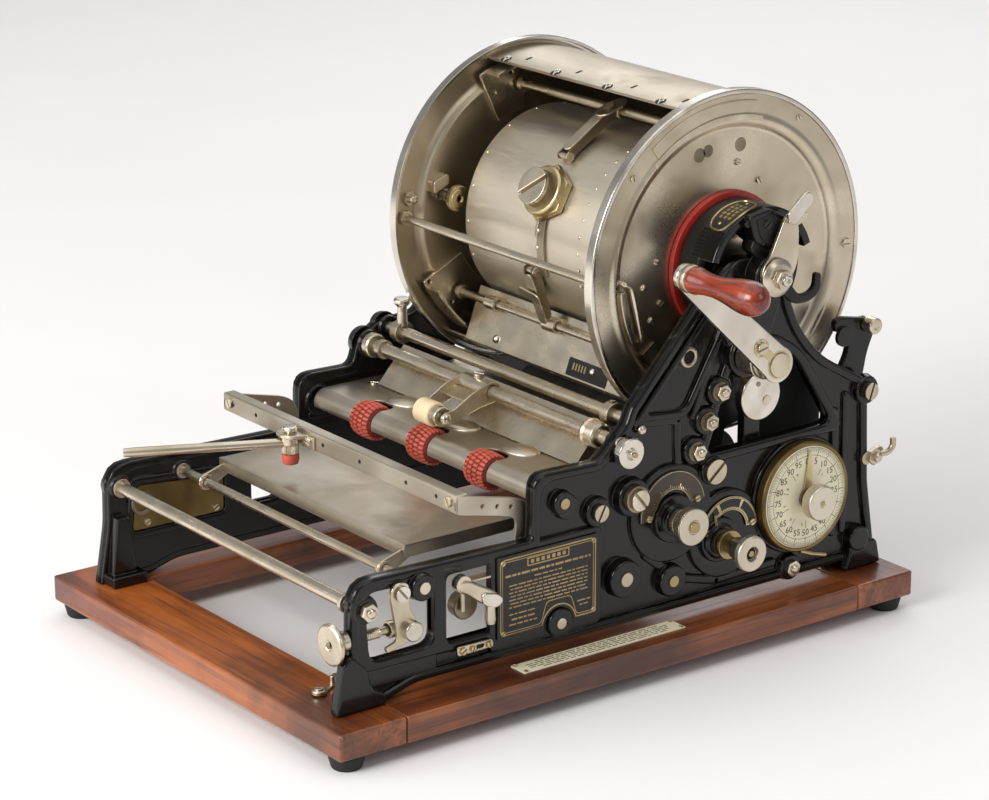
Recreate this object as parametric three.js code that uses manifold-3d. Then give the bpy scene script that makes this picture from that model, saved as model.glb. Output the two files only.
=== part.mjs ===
// Hand-cranked rotary stencil duplicator on a wooden base.
// Millimetres. X runs to the crank side, Y to the back, Z up; z = 0 is under the rubber feet.
import * as THREE from 'three';
import { mergeVertices } from 'three/addons/utils/BufferGeometryUtils.js';
import Module from 'manifold-3d';

const wasm = await Module();
wasm.setup();

// ---- driving dimensions ----
const GAP = 0.3;                       // clearance kept between touching pieces
const BASE = { width: 362, depth: 494, board: 19, sideRail: 46, endRail: 52 };
const FOOT = { radius: 12, height: 10, inset: 14 };
const DECK = FOOT.height + BASE.board; // top of the wooden base
const FRAME = { outer: 152, thick: 10, sole: 36 };
const INNER = FRAME.outer - FRAME.thick;
const DRUM = { x: 2.8, y: 121.4, z: 263.9, half: 116.6, flange: 120.3, skin: 114.5 };
const OPENING = { head: 107, tail: 232 };   // degrees about the axle, from +Y up towards the front
const CLAMP_RADIUS = 88.5;             // circle that carries the head and tail rods
const INK = { radius: 75.5, left: -86.8, right: 106 };
const FILLER = { x: 4.2, angle: 152, slotTurn: 40 };  // on the ink cylinder
const AXLE = 8;
const GEAR = { teeth: 20, module: 2.8, x0: 124, x1: 132 };
const CRANK = { y: 108.7, z: 209.3, arm: 110.7, angle: 137.6, hub: 13, x: 183.4, thick: 4 };
const GRIP_LENGTH = 80;
const FEED = { y: -41, z: 131, tyre: 13.5, tyreWidth: 22, tyres: [-78, -9.5, 59], top: 141.2 };
const SHAFT_FRONT = { y: 1.6, z: 165.3, r: 5 };
const SHAFT_REAR = { y: 18.8, z: 175.3, r: 4.5 };
const TIE_FRONT = { y: -212.4, z: 98.6, r: 4.5 };
const TRAY_ROD = { y: -162, z: 101.4, r: 3.2 };
const TRAY = { x0: -113, x1: 113, y0: -148, y1: -58, top: 115.5, lip: 9 };
const ROLLER = { y: 121.4, z: 115.6, r: 24, x0: -99, x1: 105 };
const YOKE = { y: 58, z: 106, r: 5 };
const BAIL = { reach: 140, y: -126, z0: 139.7, z1: 152.6, flange: 9, pivotY: -72, pivotZ: 106 };
const HOLD = { x: -44, y: -133, z: 142 };
const DIAL = { y: 162.5, z: 96, r: 40 };
const KNOB_A = { y: 46.5, z: 103.5 };
const KNOB_B = { y: 87.5, z: 79 };
const CAM = { y: 126, z: 175, r: 17.5 };
const REAR_LEVER = { y: 218, z: 160 };
const THUMB_NUT = { y: -75, z: 14 };     // from the drum's axis
const ROUND = 14;                      // sides of a small round piece
const WIDE = 22;                       // sides of a knob, tyre or dial
const HOLE = 12;                       // sides of a small bore

// ---- finishes ----
const finish = (color, roughness, metalness) => ({ color, roughness, metalness });
const NICKEL = finish(0xb4a891, 0.32, 1.0);
const POLISHED = finish(0xc6c2b8, 0.18, 1.0);
const BLACK = finish(0x1c1a19, 0.3, 0.0);
const WOOD = finish(0x8a4a24, 0.4, 0.0);
const RUBBER = finish(0x1a1a1a, 0.8, 0.0);
const RED_RUBBER = finish(0xb4452f, 0.7, 0.0);
const RED = finish(0xa3241c, 0.45, 0.0);
const BRASS = finish(0xa58c50, 0.4, 1.0);
const IVORY = finish(0xe8d6b0, 0.4, 0.0);
const CREAM = finish(0xe0dab4, 0.45, 0.0);
const VARNISH = finish(0x962f14, 0.2, 0.0);
const GREY_RUBBER = finish(0x3c3a38, 0.75, 0.0);

const root = new THREE.Group();

// ---- small tools ----
const rad = THREE.MathUtils.degToRad;

function toSolid(geometry) {
  const bare = geometry.index ? geometry.toNonIndexed() : geometry.clone();
  bare.deleteAttribute('normal');
  bare.deleteAttribute('uv');
  const merged = mergeVertices(bare, 1e-4);
  return new wasm.Manifold(new wasm.Mesh({
    numProp: 3,
    vertProperties: new Float32Array(merged.attributes.position.array),
    triVerts: new Uint32Array(merged.index.array),
  }));
}

function toGeometry(solid) {
  const mesh = solid.getMesh();
  const geometry = new THREE.BufferGeometry();
  geometry.setAttribute('position', new THREE.BufferAttribute(new Float32Array(mesh.vertProperties), 3));
  geometry.setIndex(new THREE.BufferAttribute(new Uint32Array(mesh.triVerts), 1));
  geometry.computeVertexNormals();
  return geometry;
}

const join = (first, ...others) =>
  toGeometry(others.reduce((body, next) => body.add(toSolid(next)), toSolid(first)));
const cut = (first, ...others) =>
  toGeometry(others.reduce((body, next) => body.subtract(toSolid(next)), toSolid(first)));

function add(parent, name, geometry, look, position = [0, 0, 0]) {
  const mesh = new THREE.Mesh(geometry, new THREE.MeshStandardMaterial(look));
  mesh.name = name;
  mesh.position.set(...position);
  parent.add(mesh);
  return mesh;
}

function group(x, y, z, parent = root) {
  const holder = new THREE.Group();
  holder.position.set(x, y, z);
  parent.add(holder);
  return holder;
}

// box from its lowest to its highest corner
function box(x0, y0, z0, x1, y1, z1) {
  const geometry = new THREE.BoxGeometry(x1 - x0, y1 - y0, z1 - z0);
  return geometry.translate((x0 + x1) / 2, (y0 + y1) / 2, (z0 + z1) / 2);
}

// cylinders along each axis, from one end to the other
function alongX(r, x0, x1, y = 0, z = 0, sides = ROUND) {
  return new THREE.CylinderGeometry(r, r, x1 - x0, sides).rotateZ(-Math.PI / 2)
    .translate((x0 + x1) / 2, y, z);
}

function alongY(r, y0, y1, x = 0, z = 0, sides = ROUND) {
  return new THREE.CylinderGeometry(r, r, y1 - y0, sides).translate(x, (y0 + y1) / 2, z);
}

function alongZ(r, z0, z1, x = 0, y = 0, sides = ROUND) {
  return new THREE.CylinderGeometry(r, r, z1 - z0, sides).rotateX(Math.PI / 2)
    .translate(x, y, (z0 + z1) / 2);
}

// solid of revolution about X; the profile is a list of [x, radius]
function turned(profile, sides = ROUND) {
  const points = profile.map(([x, r]) => new THREE.Vector2(r, x));
  return new THREE.LatheGeometry(points, sides).rotateZ(-Math.PI / 2);
}

// flat plate: an outline drawn in Y and Z, thick along X
function plate(shape, x0, x1, curveSegments = 3) {
  const geometry = new THREE.ExtrudeGeometry(shape, { depth: x1 - x0, bevelEnabled: false, curveSegments });
  const basis = new THREE.Matrix4().makeBasis(
    new THREE.Vector3(0, 1, 0), new THREE.Vector3(0, 0, 1), new THREE.Vector3(1, 0, 0));
  return geometry.applyMatrix4(basis).translate(x0, 0, 0);
}

// closed outline with its corners rounded; each point is [y, z] or [y, z, radius]
function rounded(points, radius = 0) {
  const shape = new THREE.Shape();
  const count = points.length;
  points.forEach((point, i) => {
    const here = new THREE.Vector2(point[0], point[1]);
    const before = new THREE.Vector2(...points[(i + count - 1) % count].slice(0, 2)).sub(here);
    const after = new THREE.Vector2(...points[(i + 1) % count].slice(0, 2)).sub(here);
    const size = Math.min(point[2] ?? radius, before.length() * 0.49, after.length() * 0.49);
    const start = here.clone().add(before.setLength(size));
    const end = here.clone().add(after.setLength(size));
    if (i === 0) shape.moveTo(start.x, start.y);
    else shape.lineTo(start.x, start.y);
    if (size > 0) shape.quadraticCurveTo(here.x, here.y, end.x, end.y);
  });
  shape.closePath();
  return shape;
}

// bar with round ends between two points of the Y-Z plane
function link(y0, z0, r0, y1, z1, r1) {
  const lean = Math.atan2(z1 - z0, y1 - y0);
  const shape = new THREE.Shape();
  shape.absarc(y0, z0, r0, lean + Math.PI / 2, lean + Math.PI * 1.5);
  shape.absarc(y1, z1, r1, lean - Math.PI / 2, lean + Math.PI / 2);
  shape.closePath();
  return shape;
}

// ring sector about the X axis, between two angles in degrees
function sector(rIn, rOut, from, to) {
  const shape = new THREE.Shape();
  shape.absarc(0, 0, rOut, rad(from), rad(to), false);
  shape.absarc(0, 0, rIn, rad(to), rad(from), true);
  shape.closePath();
  return shape;
}

function gearShape({ teeth, module }, phase) {
  const shape = new THREE.Shape();
  const pitch = (teeth * module) / 2;
  const steps = [[-0.28, pitch - 1.25 * module], [-0.11, pitch + 0.8 * module],
    [0.11, pitch + 0.8 * module], [0.28, pitch - 1.25 * module]];
  for (let i = 0; i < teeth; i++) {
    for (const [share, r] of steps) {
      const angle = ((i + share) / teeth) * Math.PI * 2 + phase;
      const point = [r * Math.cos(angle), r * Math.sin(angle)];
      if (i === 0 && share === steps[0][0]) shape.moveTo(...point);
      else shape.lineTo(...point);
    }
  }
  shape.closePath();
  return shape;
}

// ---- wooden base ----
function base() {
  const w = BASE.width / 2;
  const d = BASE.depth / 2;
  const { sideRail, endRail } = BASE;
  const z = [FOOT.height + GAP, DECK];
  for (const [name, side] of [['front', -1], ['rear', 1]]) {
    const y = side < 0 ? [-d, -d + endRail] : [d - endRail, d];
    add(root, `base_rail_${name}`, box(-w, y[0], z[0], w, y[1], z[1]), WOOD);
  }
  for (const [name, side] of [['left', -1], ['right', 1]]) {
    const x = side < 0 ? [-w, -w + sideRail] : [w - sideRail, w];
    add(root, `base_rail_${name}`,
      box(x[0], -d + endRail + GAP, z[0], x[1], d - endRail - GAP, z[1]), WOOD);
  }
  for (const [yName, ySide] of [['front', -1], ['rear', 1]]) {
    for (const [xName, xSide] of [['left', -1], ['right', 1]]) {
      const foot = new THREE.CylinderGeometry(FOOT.radius, FOOT.radius - 2, FOOT.height, ROUND)
        .rotateX(Math.PI / 2).translate(0, 0, FOOT.height / 2);
      add(root, `rubber_foot_${yName}_${xName}`, foot, RUBBER,
        [xSide * (w - FOOT.inset), ySide * (d - FOOT.inset), 0]);
    }
  }
}

// ---- cast side frames ----
function sideFrames() {
  // the front arm is a little shorter and lower on the far side
  const arm = (front, step, shelf) => [[front, DECK + GAP], [front + 7.5, 72, 6], [front + 8.5, 116, 18],
    [step - 1, 113, 4], [step, shelf, 12]];
  const back = [[150, 240, 10], [161, 216, 12], [180, 194, 14], [225, 168.5, 6], [228, 93, 4],
    [238, DECK + GAP], [212, DECK + GAP], [205, FRAME.sole, 3], [-168, FRAME.sole, 8],
    [-190, DECK + GAP, 3]];
  const rightOutline = rounded([...arm(-225, -71, 158), [-16, 156, 6], [7, 178, 3], [11, 188, 3],
    [92, 276, 8], [140, 276, 8], ...back]);
  const leftOutline = rounded([...arm(-230, -60, 152), [-13, 151, 6], [-8, 168, 4], [12, 181, 6],
    [46, 181, 10], [92, 276, 8], [140, 276, 8], ...back]);
  const window1 = rounded([[-206, 106], [-152, 104], [-152, 59], [-203, 58]], 9);
  const window2 = rounded([[-142, 104], [-100, 104], [-100, 57], [-142, 57]], 5);
  const window3 = rounded([[-103, 88], [-80, 88], [-80, 63], [-103, 63]], 4);
  const triangle = rounded([[77, 142, 8], [99, 203, 8], [134, 212, 8], [157, 198, 10], [192, 143, 10]]);
  const outer = FRAME.outer;

  const holes = [[DRUM.y, DRUM.z, AXLE], [CRANK.y, CRANK.z, 7], [FEED.y, FEED.z, 5],
    [SHAFT_FRONT.y, SHAFT_FRONT.z, SHAFT_FRONT.r], [SHAFT_REAR.y, SHAFT_REAR.z, SHAFT_REAR.r],
    [TIE_FRONT.y, TIE_FRONT.z, TIE_FRONT.r], [TRAY_ROD.y, TRAY_ROD.z, TRAY_ROD.r],
    [YOKE.y, YOKE.z, YOKE.r], [BAIL.pivotY, BAIL.pivotZ, 4]];
  const bored = (x0, x1) => holes.map(([y, z, r]) => alongX(r + GAP, x0, x1, y, z, HOLE));
  const footPads = (x0, x1) => [box(x0, -223, DECK + GAP, x1, -200, DECK + 8),
    box(x0, 200, DECK + GAP, x1, 230, DECK + 8)];

  const right = join(plate(rightOutline, INNER, outer),
    alongX(14, 139.5, 164, DRUM.y, DRUM.z), alongX(16, 139.5, 156, CRANK.y, CRANK.z),
    alongX(12, INNER, 155, FEED.y - 3, FEED.z), box(134, 119, 138, INNER + 1, 133, 182),
    ...footPads(128, INNER + 1));
  const camStud = alongX(3 + GAP, 133, 143, CAM.y, CAM.z, HOLE);
  add(root, 'side_frame_right', cut(right, plate(window1, 130, 160),
    plate(window2, 130, 160), cut(plate(triangle, INNER - 0.8, 160),
      alongX(16, 130, 160, CRANK.y, CRANK.z)), camStud, ...bored(130, 170),
    alongY(4 + GAP, -228, -196, 147, 76, HOLE)), BLACK);

  const left = join(plate(leftOutline, -outer, -INNER),
    alongX(14, -outer - 4, -139.5, DRUM.y, DRUM.z), alongX(12, -outer - 3, -INNER, FEED.y - 3, FEED.z),
    ...footPads(-INNER - 1, -128));
  const leftHoles = bored(-160, -130).filter((hole, i) => i !== 1);
  add(root, 'side_frame_left', cut(left, plate(window3, -160, -130), plate(triangle, -160, -130),
    ...leftHoles), BLACK);
}

// ---- cross rods and sheet metal between the frames ----
function crossPieces() {
  const reach = FRAME.outer - 2;
  add(root, 'front_tie_rod', alongX(TIE_FRONT.r, -reach, reach), NICKEL, [0, TIE_FRONT.y, TIE_FRONT.z]);
  add(root, 'tray_rod', alongX(TRAY_ROD.r, -reach, reach), NICKEL, [0, TRAY_ROD.y, TRAY_ROD.z]);
  add(root, 'impression_pivot_rod', alongX(YOKE.r, -reach, reach), NICKEL, [0, YOKE.y, YOKE.z]);
  add(root, 'front_cross_shaft', turned([[-reach, 0], [-reach, 5], [-140, 5], [-140, 9], [-132, 9],
    [-132, 5], [152.5, 5], [152.5, 10.5], [161, 10.5], [161, 0]]), NICKEL,
    [0, SHAFT_FRONT.y, SHAFT_FRONT.z]);
  const rear = join(turned([[-reach, 0], [-reach, 4.5], [-129, 4.5], [-129, 8.5], [-119, 8.5],
    [-119, 4.5], [117, 4.5], [117, 8.5], [125, 8.5], [125, 4.5], [reach, 4.5], [reach, 0]]),
    alongZ(4, 6, 22, -124, 0, HOLE), alongZ(6, 22, 26, -124, 0));
  add(root, 'rear_cross_shaft', rear, NICKEL, [0, SHAFT_REAR.y, SHAFT_REAR.z]);

  // feed table: a flat sheet whose front edge is rolled down around the feed shaft
  const wide = BAIL.reach - 3;
  const roll = { y: FEED.y, z: FEED.z };
  const sheet = new THREE.Shape();
  sheet.moveTo(84, FEED.top);
  sheet.absarc(roll.y, roll.z, FEED.top - roll.z, Math.PI / 2, Math.PI, false);
  sheet.lineTo(roll.y - 8.6, roll.z);
  sheet.absarc(roll.y, roll.z, 8.6, Math.PI, Math.PI / 2, true);
  sheet.lineTo(84, roll.z + 8.6);
  sheet.closePath();
  const slots = FEED.tyres.map((x) =>
    box(x - FEED.tyreWidth / 2 - 2, -60, 120, x + FEED.tyreWidth / 2 + 2, -19, 150));
  add(root, 'feed_table', cut(plate(sheet, -wide, wide), ...slots), NICKEL);

  const stripper = rounded([[-8, 142.2], [-6.6, 141.6], [15.5, 166.4], [22, 163], [23, 164.4],
    [15, 168.6]]);
  add(root, 'stripper_plate', plate(stripper, -117, 115), NICKEL);
}

// ---- plates and dials on the crank side ----
function faces() {
  const face = FRAME.outer + GAP;
  const outline = rounded([[-102.5, 50], [-102.5, 107.5], [-18.5, 107.5], [-18.5, 50]], 2);
  add(root, 'nameplate', cut(plate(outline, face, face + 1.5), alongX(12, 150, 156, -52, 50)), BLACK);
  add(root, 'counter_dial', turned([[face, 5], [face, 37], [face + 4, DIAL.r], [face + 7, DIAL.r],
    [face + 7, 5], [face, 5]], 32), CREAM, [0, DIAL.y, DIAL.z]);
}

// ---- drum, in its own group about the axle ----
function drum() {
  const turn = group(DRUM.x, DRUM.y, DRUM.z);
  const h = DRUM.half;
  const R = DRUM.flange;
  const bore = AXLE + GAP;
  const flange = [[h, R], [h, 98], [h - 5, 94], [h - 5, bore], [h - 7, bore], [h - 7, 95.5],
    [h - 2, 99.5], [h - 2, R - 2], [h - 7.7, R - 2], [h - 7.7, R], [h, R]];
  add(turn, 'drum_flange_right', turned(flange, 40), POLISHED);
  add(turn, 'drum_flange_left', turned(flange.map(([x, r]) => [-x, r]).reverse(), 40), POLISHED);

  const skinEnd = h - 2 - GAP;
  add(turn, 'drum_sheet', plate(sector(DRUM.skin - 1.5, DRUM.skin, OPENING.tail - 360, OPENING.head),
    -skinEnd, skinEnd, 20), NICKEL);

  const rodAt = (degrees, r) => [r * Math.cos(rad(degrees)), r * Math.sin(rad(degrees))];
  const bracketFace = -h + 7 + GAP;
  const headAt = rodAt(96, CLAMP_RADIUS);
  const tailAt = rodAt(221.8, CLAMP_RADIUS);
  const tieAt = rodAt(179.3, 109);
  const innerFace = h - 7 - GAP;
  add(turn, 'head_rod', alongX(3.2, -innerFace + 4.2, innerFace), NICKEL, [0, ...headAt]);
  add(turn, 'tail_rod', alongX(3, -innerFace + 4.2, innerFace), NICKEL, [0, ...tailAt]);
  add(turn, 'drum_tie_rod', alongX(3, -skinEnd, skinEnd), NICKEL, [0, ...tieAt]);

  // folded end brackets that carry the two rods on the far flange
  const foldedBracket = (from, to, fold) => join(
    plate(sector(78, 107, from, to), bracketFace, bracketFace + 3.5, 4),
    plate(sector(104.5, 107, from + fold, to + fold), bracketFace, bracketFace + 16, 4));
  add(turn, 'head_bracket', foldedBracket(94, 114, -6), NICKEL);
  add(turn, 'tail_bracket', foldedBracket(206, 229, 3), NICKEL);

  // ink cylinder: hollow, open only around the axle and under the filler plug
  const { radius, left, right } = INK;
  const shell = turned([[left, bore], [left, radius - 3], [left + 3, radius], [right, radius],
    [right, bore], [right - 3, bore], [right - 3, radius - 3], [left + 4, radius - 3], [left + 4, bore],
    [left, bore]], 32);
  const hole = new THREE.CylinderGeometry(9.5, 9.5, 20, ROUND);
  hole.translate(0, radius, 0).rotateX(rad(FILLER.angle)).translate(FILLER.x, 0, 0);
  add(turn, 'ink_cylinder', cut(shell, hole), NICKEL);

  const plugTurn = group(FILLER.x, 0, 0, turn);
  plugTurn.rotation.x = rad(FILLER.angle);
  const hex = new THREE.CylinderGeometry(20.8, 20.8, 5.4, 6).translate(0, radius + GAP + 2.7, 0);
  const neck = new THREE.CylinderGeometry(9.2, 9.2, 12, ROUND).translate(0, radius, 0);
  const ring = new THREE.CylinderGeometry(18, 18.6, 5, ROUND).translate(0, radius + GAP + 7.8, 0);
  const cap = new THREE.CylinderGeometry(13.6, 13.6, 10, ROUND).translate(0, radius + GAP + 14, 0);
  const slot = box(-15, radius + GAP + 16, -1.2, 15, radius + GAP + 20, 1.2)
    .rotateY(rad(FILLER.slotTurn));
  add(plugTurn, 'filler_plug', cut(join(hex, neck, ring, cap), slot), BRASS);

  // tail clamp: a plate that swings on the tail rod and holds the end of the stencil
  const clampTurn = group(0, ...tailAt, turn);
  const clampLean = rad(-110.5);
  const blade = rounded([[-9, 4.6], [31, 4.6], [31, 5.8], [-9, 5.8]]);
  const collars = [-70, 0, 70].map((x) => cut(join(alongX(5.2, x, x + 12, 0, 0, HOLE),
    box(x, -3, 3, x + 12, 3, 5)), alongX(3 + GAP, x - 1, x + 13, 0, 0, HOLE)));
  const clamp = add(clampTurn, 'tail_clamp', join(plate(blade, -90, 100), ...collars), NICKEL);
  clamp.rotation.x = clampLean;

  // thumb nut on its stud, which stands on the far flange
  add(turn, 'drum_thumb_nut', turned([[bracketFace, 0], [bracketFace, 5], [bracketFace + 4, 5],
    [bracketFace + 4, 3], [bracketFace + 12, 3], [bracketFace + 12, 9], [bracketFace + 17, 9.5],
    [bracketFace + 17, 0]]), BRASS, [0, THUMB_NUT.y, THUMB_NUT.z]);

  // axle with its end washer and nut; local x is measured from the drum's middle
  const ax = (x) => x - DRUM.x;
  add(turn, 'drum_axle', turned([[ax(-FRAME.outer - 6), 0], [ax(-FRAME.outer - 6), 5],
    [ax(-FRAME.outer - 4.5), AXLE], [ax(168), AXLE], [ax(168), 12.5], [ax(171), 13], [ax(173), 10],
    [ax(173), 6.5], [ax(178), 6.5], [ax(178), 4], [ax(181), 4], [ax(181), 0]]), NICKEL);
  const gear = cut(plate(gearShape(GEAR, Math.atan2(CRANK.z - DRUM.z, CRANK.y - DRUM.y)),
    ax(GEAR.x0), ax(GEAR.x1)), alongX(bore, 100, 160));
  add(turn, 'drum_gear', gear, NICKEL);
  add(turn, 'index_ring', turned([[h - 5 + GAP, 44], [h - 5 + GAP, 50], [h, 50], [h, 44],
    [h - 5 + GAP, 44]], 32), RED);
}

// ---- fixed hub housing and its release lever ----
function hub() {
  const centre = group(0, DRUM.y, DRUM.z);
  const clampBlock = rounded([[-17, 41], [0, 45.5], [26, 36], [26, 22], [14, 11], [-5, 20]], 3);
  add(centre, 'hub_housing', join(plate(sector(40, 46, -56, 216), 120, 139.2, 10),
    plate(sector(40, 46, 18, 162), 130, 154, 8), plate(clampBlock, 140, 161)), BLACK);
  const lever = join(plate(link(0, 0, 12, 11, 32, 9), 164.3, 167.3),
    plate(link(11, 36, 5, 16, 38, 5), 164.3, 171), plate(link(13, 41, 5.2, 23.5, 51, 5.2), 168.6, 171));
  add(centre, 'release_lever', cut(lever, alongX(AXLE + GAP, 160, 170)), NICKEL);
}

// ---- crank: shaft with its pinion, flat arm and turned grip ----
function crank() {
  const turn = group(0, CRANK.y, CRANK.z);
  const towardsDrum = Math.atan2(DRUM.z - CRANK.z, DRUM.y - CRANK.y);
  const gear = plate(gearShape(GEAR, towardsDrum + Math.PI / GEAR.teeth), GEAR.x0, GEAR.x1);
  const shaft = turned([[GEAR.x0 - 1.5, 0], [GEAR.x0 - 1.5, 7], [156.5, 7], [156.5, CRANK.hub],
    [CRANK.x - GAP, CRANK.hub], [CRANK.x - GAP, 8.5], [CRANK.x + CRANK.thick, 8.5],
    [CRANK.x + CRANK.thick, 0]]);
  add(turn, 'crank_shaft', join(shaft, gear), NICKEL);

  const gripY = CRANK.arm * Math.cos(rad(CRANK.angle));
  const gripZ = CRANK.arm * Math.sin(rad(CRANK.angle));
  const far = CRANK.x + CRANK.thick;
  const blade = join(plate(link(0, 0, 12.6, gripY * 0.25, gripZ * 0.25, 10.5), CRANK.x, far),
    plate(link(gripY * 0.2, gripZ * 0.2, 10.5, gripY, gripZ, 9), CRANK.x, far),
    alongX(3.5, CRANK.x, far + GRIP_LENGTH - 12, gripY, gripZ, HOLE));
  add(turn, 'crank_arm', cut(blade, alongX(8.5 + GAP, 180, 190)), NICKEL);

  const start = far + GAP;
  const end = start + GRIP_LENGTH;
  add(turn, 'crank_grip', turned([[start, 3.9], [start, 9], [start + 5, 9], [start + 8, 8.6],
    [start + 24, 7.5], [start + 38, 8.6], [start + 52, 11], [start + 62, 11.4], [start + 72, 8.6],
    [end - 1.5, 4.5], [end, 0], [end - 9, 0], [end - 9, 3.9], [start, 3.9]], 18), VARNISH,
    [0, gripY, gripZ]);
}

// ---- feed rolls and guide roller ----
function feed() {
  const roll = group(0, FEED.y, FEED.z);
  add(roll, 'feed_shaft', alongX(5, -FRAME.outer + 1, FRAME.outer - 1), NICKEL);
  const names = ['left', 'middle', 'right'];
  FEED.tyres.forEach((x, i) => {
    const w = FEED.tyreWidth / 2;
    add(roll, `feed_tyre_${names[i]}`, turned([[-w, 5.3], [-w, FEED.tyre - 3], [-w + 3, FEED.tyre - 0.7],
      [0, FEED.tyre], [w - 3, FEED.tyre - 0.7], [w, FEED.tyre - 3], [w, 5.3], [-w, 5.3]], 18),
      RED_RUBBER, [x, 0, 0]);
  });

  // the bracket clamps on the front cross shaft and forks around the roller
  const arm = group(0, SHAFT_FRONT.y, SHAFT_FRONT.z);
  const rollerY = -39.6;
  const rollerZ = -11.7;
  const cheek = (x) => plate(link(0, 0, 7.5, rollerY, rollerZ, 4.5), x, x + 1.6);
  const bracket = join(alongX(7.5, -23, 9), cheek(-23), cheek(7.4),
    box(-23, -19, -3.6, 9, -9, -1.6), alongX(2.5, -23, 9, rollerY, rollerZ, HOLE));
  add(arm, 'guide_bracket', cut(bracket, alongX(SHAFT_FRONT.r + GAP, -30, 20)), NICKEL);
  add(arm, 'guide_roller', turned([[-20.5, 2.8], [-20.5, 9], [-3, 9], [-3, 8], [4, 8],
    [4, 2.8], [-20.5, 2.8]], WIDE), IVORY, [0, rollerY, rollerZ]);
}

// ---- impression roller under the drum, on its swinging yoke ----
function impression() {
  add(root, 'impression_roller', turned([[ROLLER.x0, 4.3], [ROLLER.x0, ROLLER.r], [ROLLER.x1, ROLLER.r],
    [ROLLER.x1, 4.3], [ROLLER.x0, 4.3]], WIDE), GREY_RUBBER, [0, ROLLER.y, ROLLER.z]);
  const side = (x) => plate(link(YOKE.y, YOKE.z, 10, ROLLER.y, ROLLER.z, 8), x, x + 6);
  const yoke = join(side(ROLLER.x0 - 6.5), side(ROLLER.x1 + 0.5),
    alongX(4, ROLLER.x0 - 5, ROLLER.x1 + 5, ROLLER.y, ROLLER.z, HOLE),
    box(ROLLER.x0 - 5, 72, YOKE.z - 3, ROLLER.x1 + 5, 80, YOKE.z + 7));
  add(root, 'impression_yoke', cut(yoke, alongX(YOKE.r + GAP, -120, 130, YOKE.y, YOKE.z, HOLE)), BLACK);

  const camDisc = cut(alongX(CAM.r, FRAME.outer - 9.5, FRAME.outer - 1, 0, 0, WIDE),
    box(130, -24, 6, 160, -9, 24), alongX(2, 148, 160, 0, 0, HOLE));
  add(root, 'pressure_cam', join(camDisc, alongX(3, 135, 143, 0, 0, HOLE)), NICKEL, [0, CAM.y, CAM.z]);
}

// ---- paper tray, bail and hold-down lever ----
function paperTray() {
  const t = 1.4;
  const { x0, x1, y0, y1, top, lip } = TRAY;
  const ringAt = [x0 + 3, x1 - 5];
  const eye = TRAY_ROD.r + 2.8;
  const hook = (x) => join(plate(link(TRAY_ROD.y, TRAY_ROD.z, eye, y0 + 6, top - 6, 4), x, x + 2),
    box(x, y0 + 3, top - 8, x + 2, y0 + 30, top - 0.7));
  const tray = join(box(x0, y0, top - t, x1, y1, top), box(x0, y0, top - lip, x1, y0 + t, top),
    box(x0, y0, top - lip, x0 + t, y1, top), box(x1 - t, y0, top - lip, x1, y1, top),
    ...ringAt.map(hook));
  const rodHole = alongX(TRAY_ROD.r + GAP, x0 - 5, x1 + 5, TRAY_ROD.y, TRAY_ROD.z, HOLE);
  add(root, 'paper_tray', cut(tray, rodHole), NICKEL);

  const { reach, z0, z1, y, flange } = BAIL;
  const strip = join(box(-reach, y, z0, reach, y + 1.6, z1),
    box(-reach, y, z1 - 1.6, reach, y + flange, z1));
  const outline = rounded([[y, z0], [y, z1], [-77, 141, 6], [-64.4, 133, 8], [-64, 102, 8], [-79, 99, 6],
    [-77.5, 127, 3], [-93, 131.5, 3]]);
  const sideArm = (side) => join(
    plate(outline, side > 0 ? reach - 2 : -reach, side > 0 ? reach : -reach + 2),
    alongX(4, side > 0 ? reach - 1 : -FRAME.outer + 2, side > 0 ? FRAME.outer - 2 : -reach + 1,
      BAIL.pivotY, BAIL.pivotZ, HOLE));
  const bracket = box(HOLD.x - 6, HOLD.y - 6, HOLD.z + 4.5, HOLD.x + 6, y + 1, HOLD.z + 8.5);
  const bail = join(strip, sideArm(-1), sideArm(1), bracket);
  add(root, 'paper_bail', cut(bail, alongZ(3 + GAP, 120, 156, HOLD.x, HOLD.y, HOLE)), NICKEL);

  // the lever turns about an upright pin; a rubber tip on the pin holds the paper down
  const pin = group(HOLD.x, HOLD.y, 0);
  const run = new THREE.LineCurve3(new THREE.Vector3(0, 0, HOLD.z - 0.5),
    new THREE.Vector3(-56, -100, HOLD.z - 2.5));
  const section = new THREE.Shape();
  section.absarc(0, 0, 3.3, 0, Math.PI * 2);
  const rod = new THREE.ExtrudeGeometry(section, { steps: 1, curveSegments: 6, extrudePath: run });
  const post = alongZ(3, HOLD.z + 2, HOLD.z + 12, 0, 0, HOLE);
  add(pin, 'hold_lever', join(rod, alongZ(6, 131, HOLD.z + 4.2), post, alongZ(5, HOLD.z + 8.8, HOLD.z + 12)),
    NICKEL);
  add(pin, 'hold_tip', alongZ(6, 126.5, 131 - GAP), RED_RUBBER);
}

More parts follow.
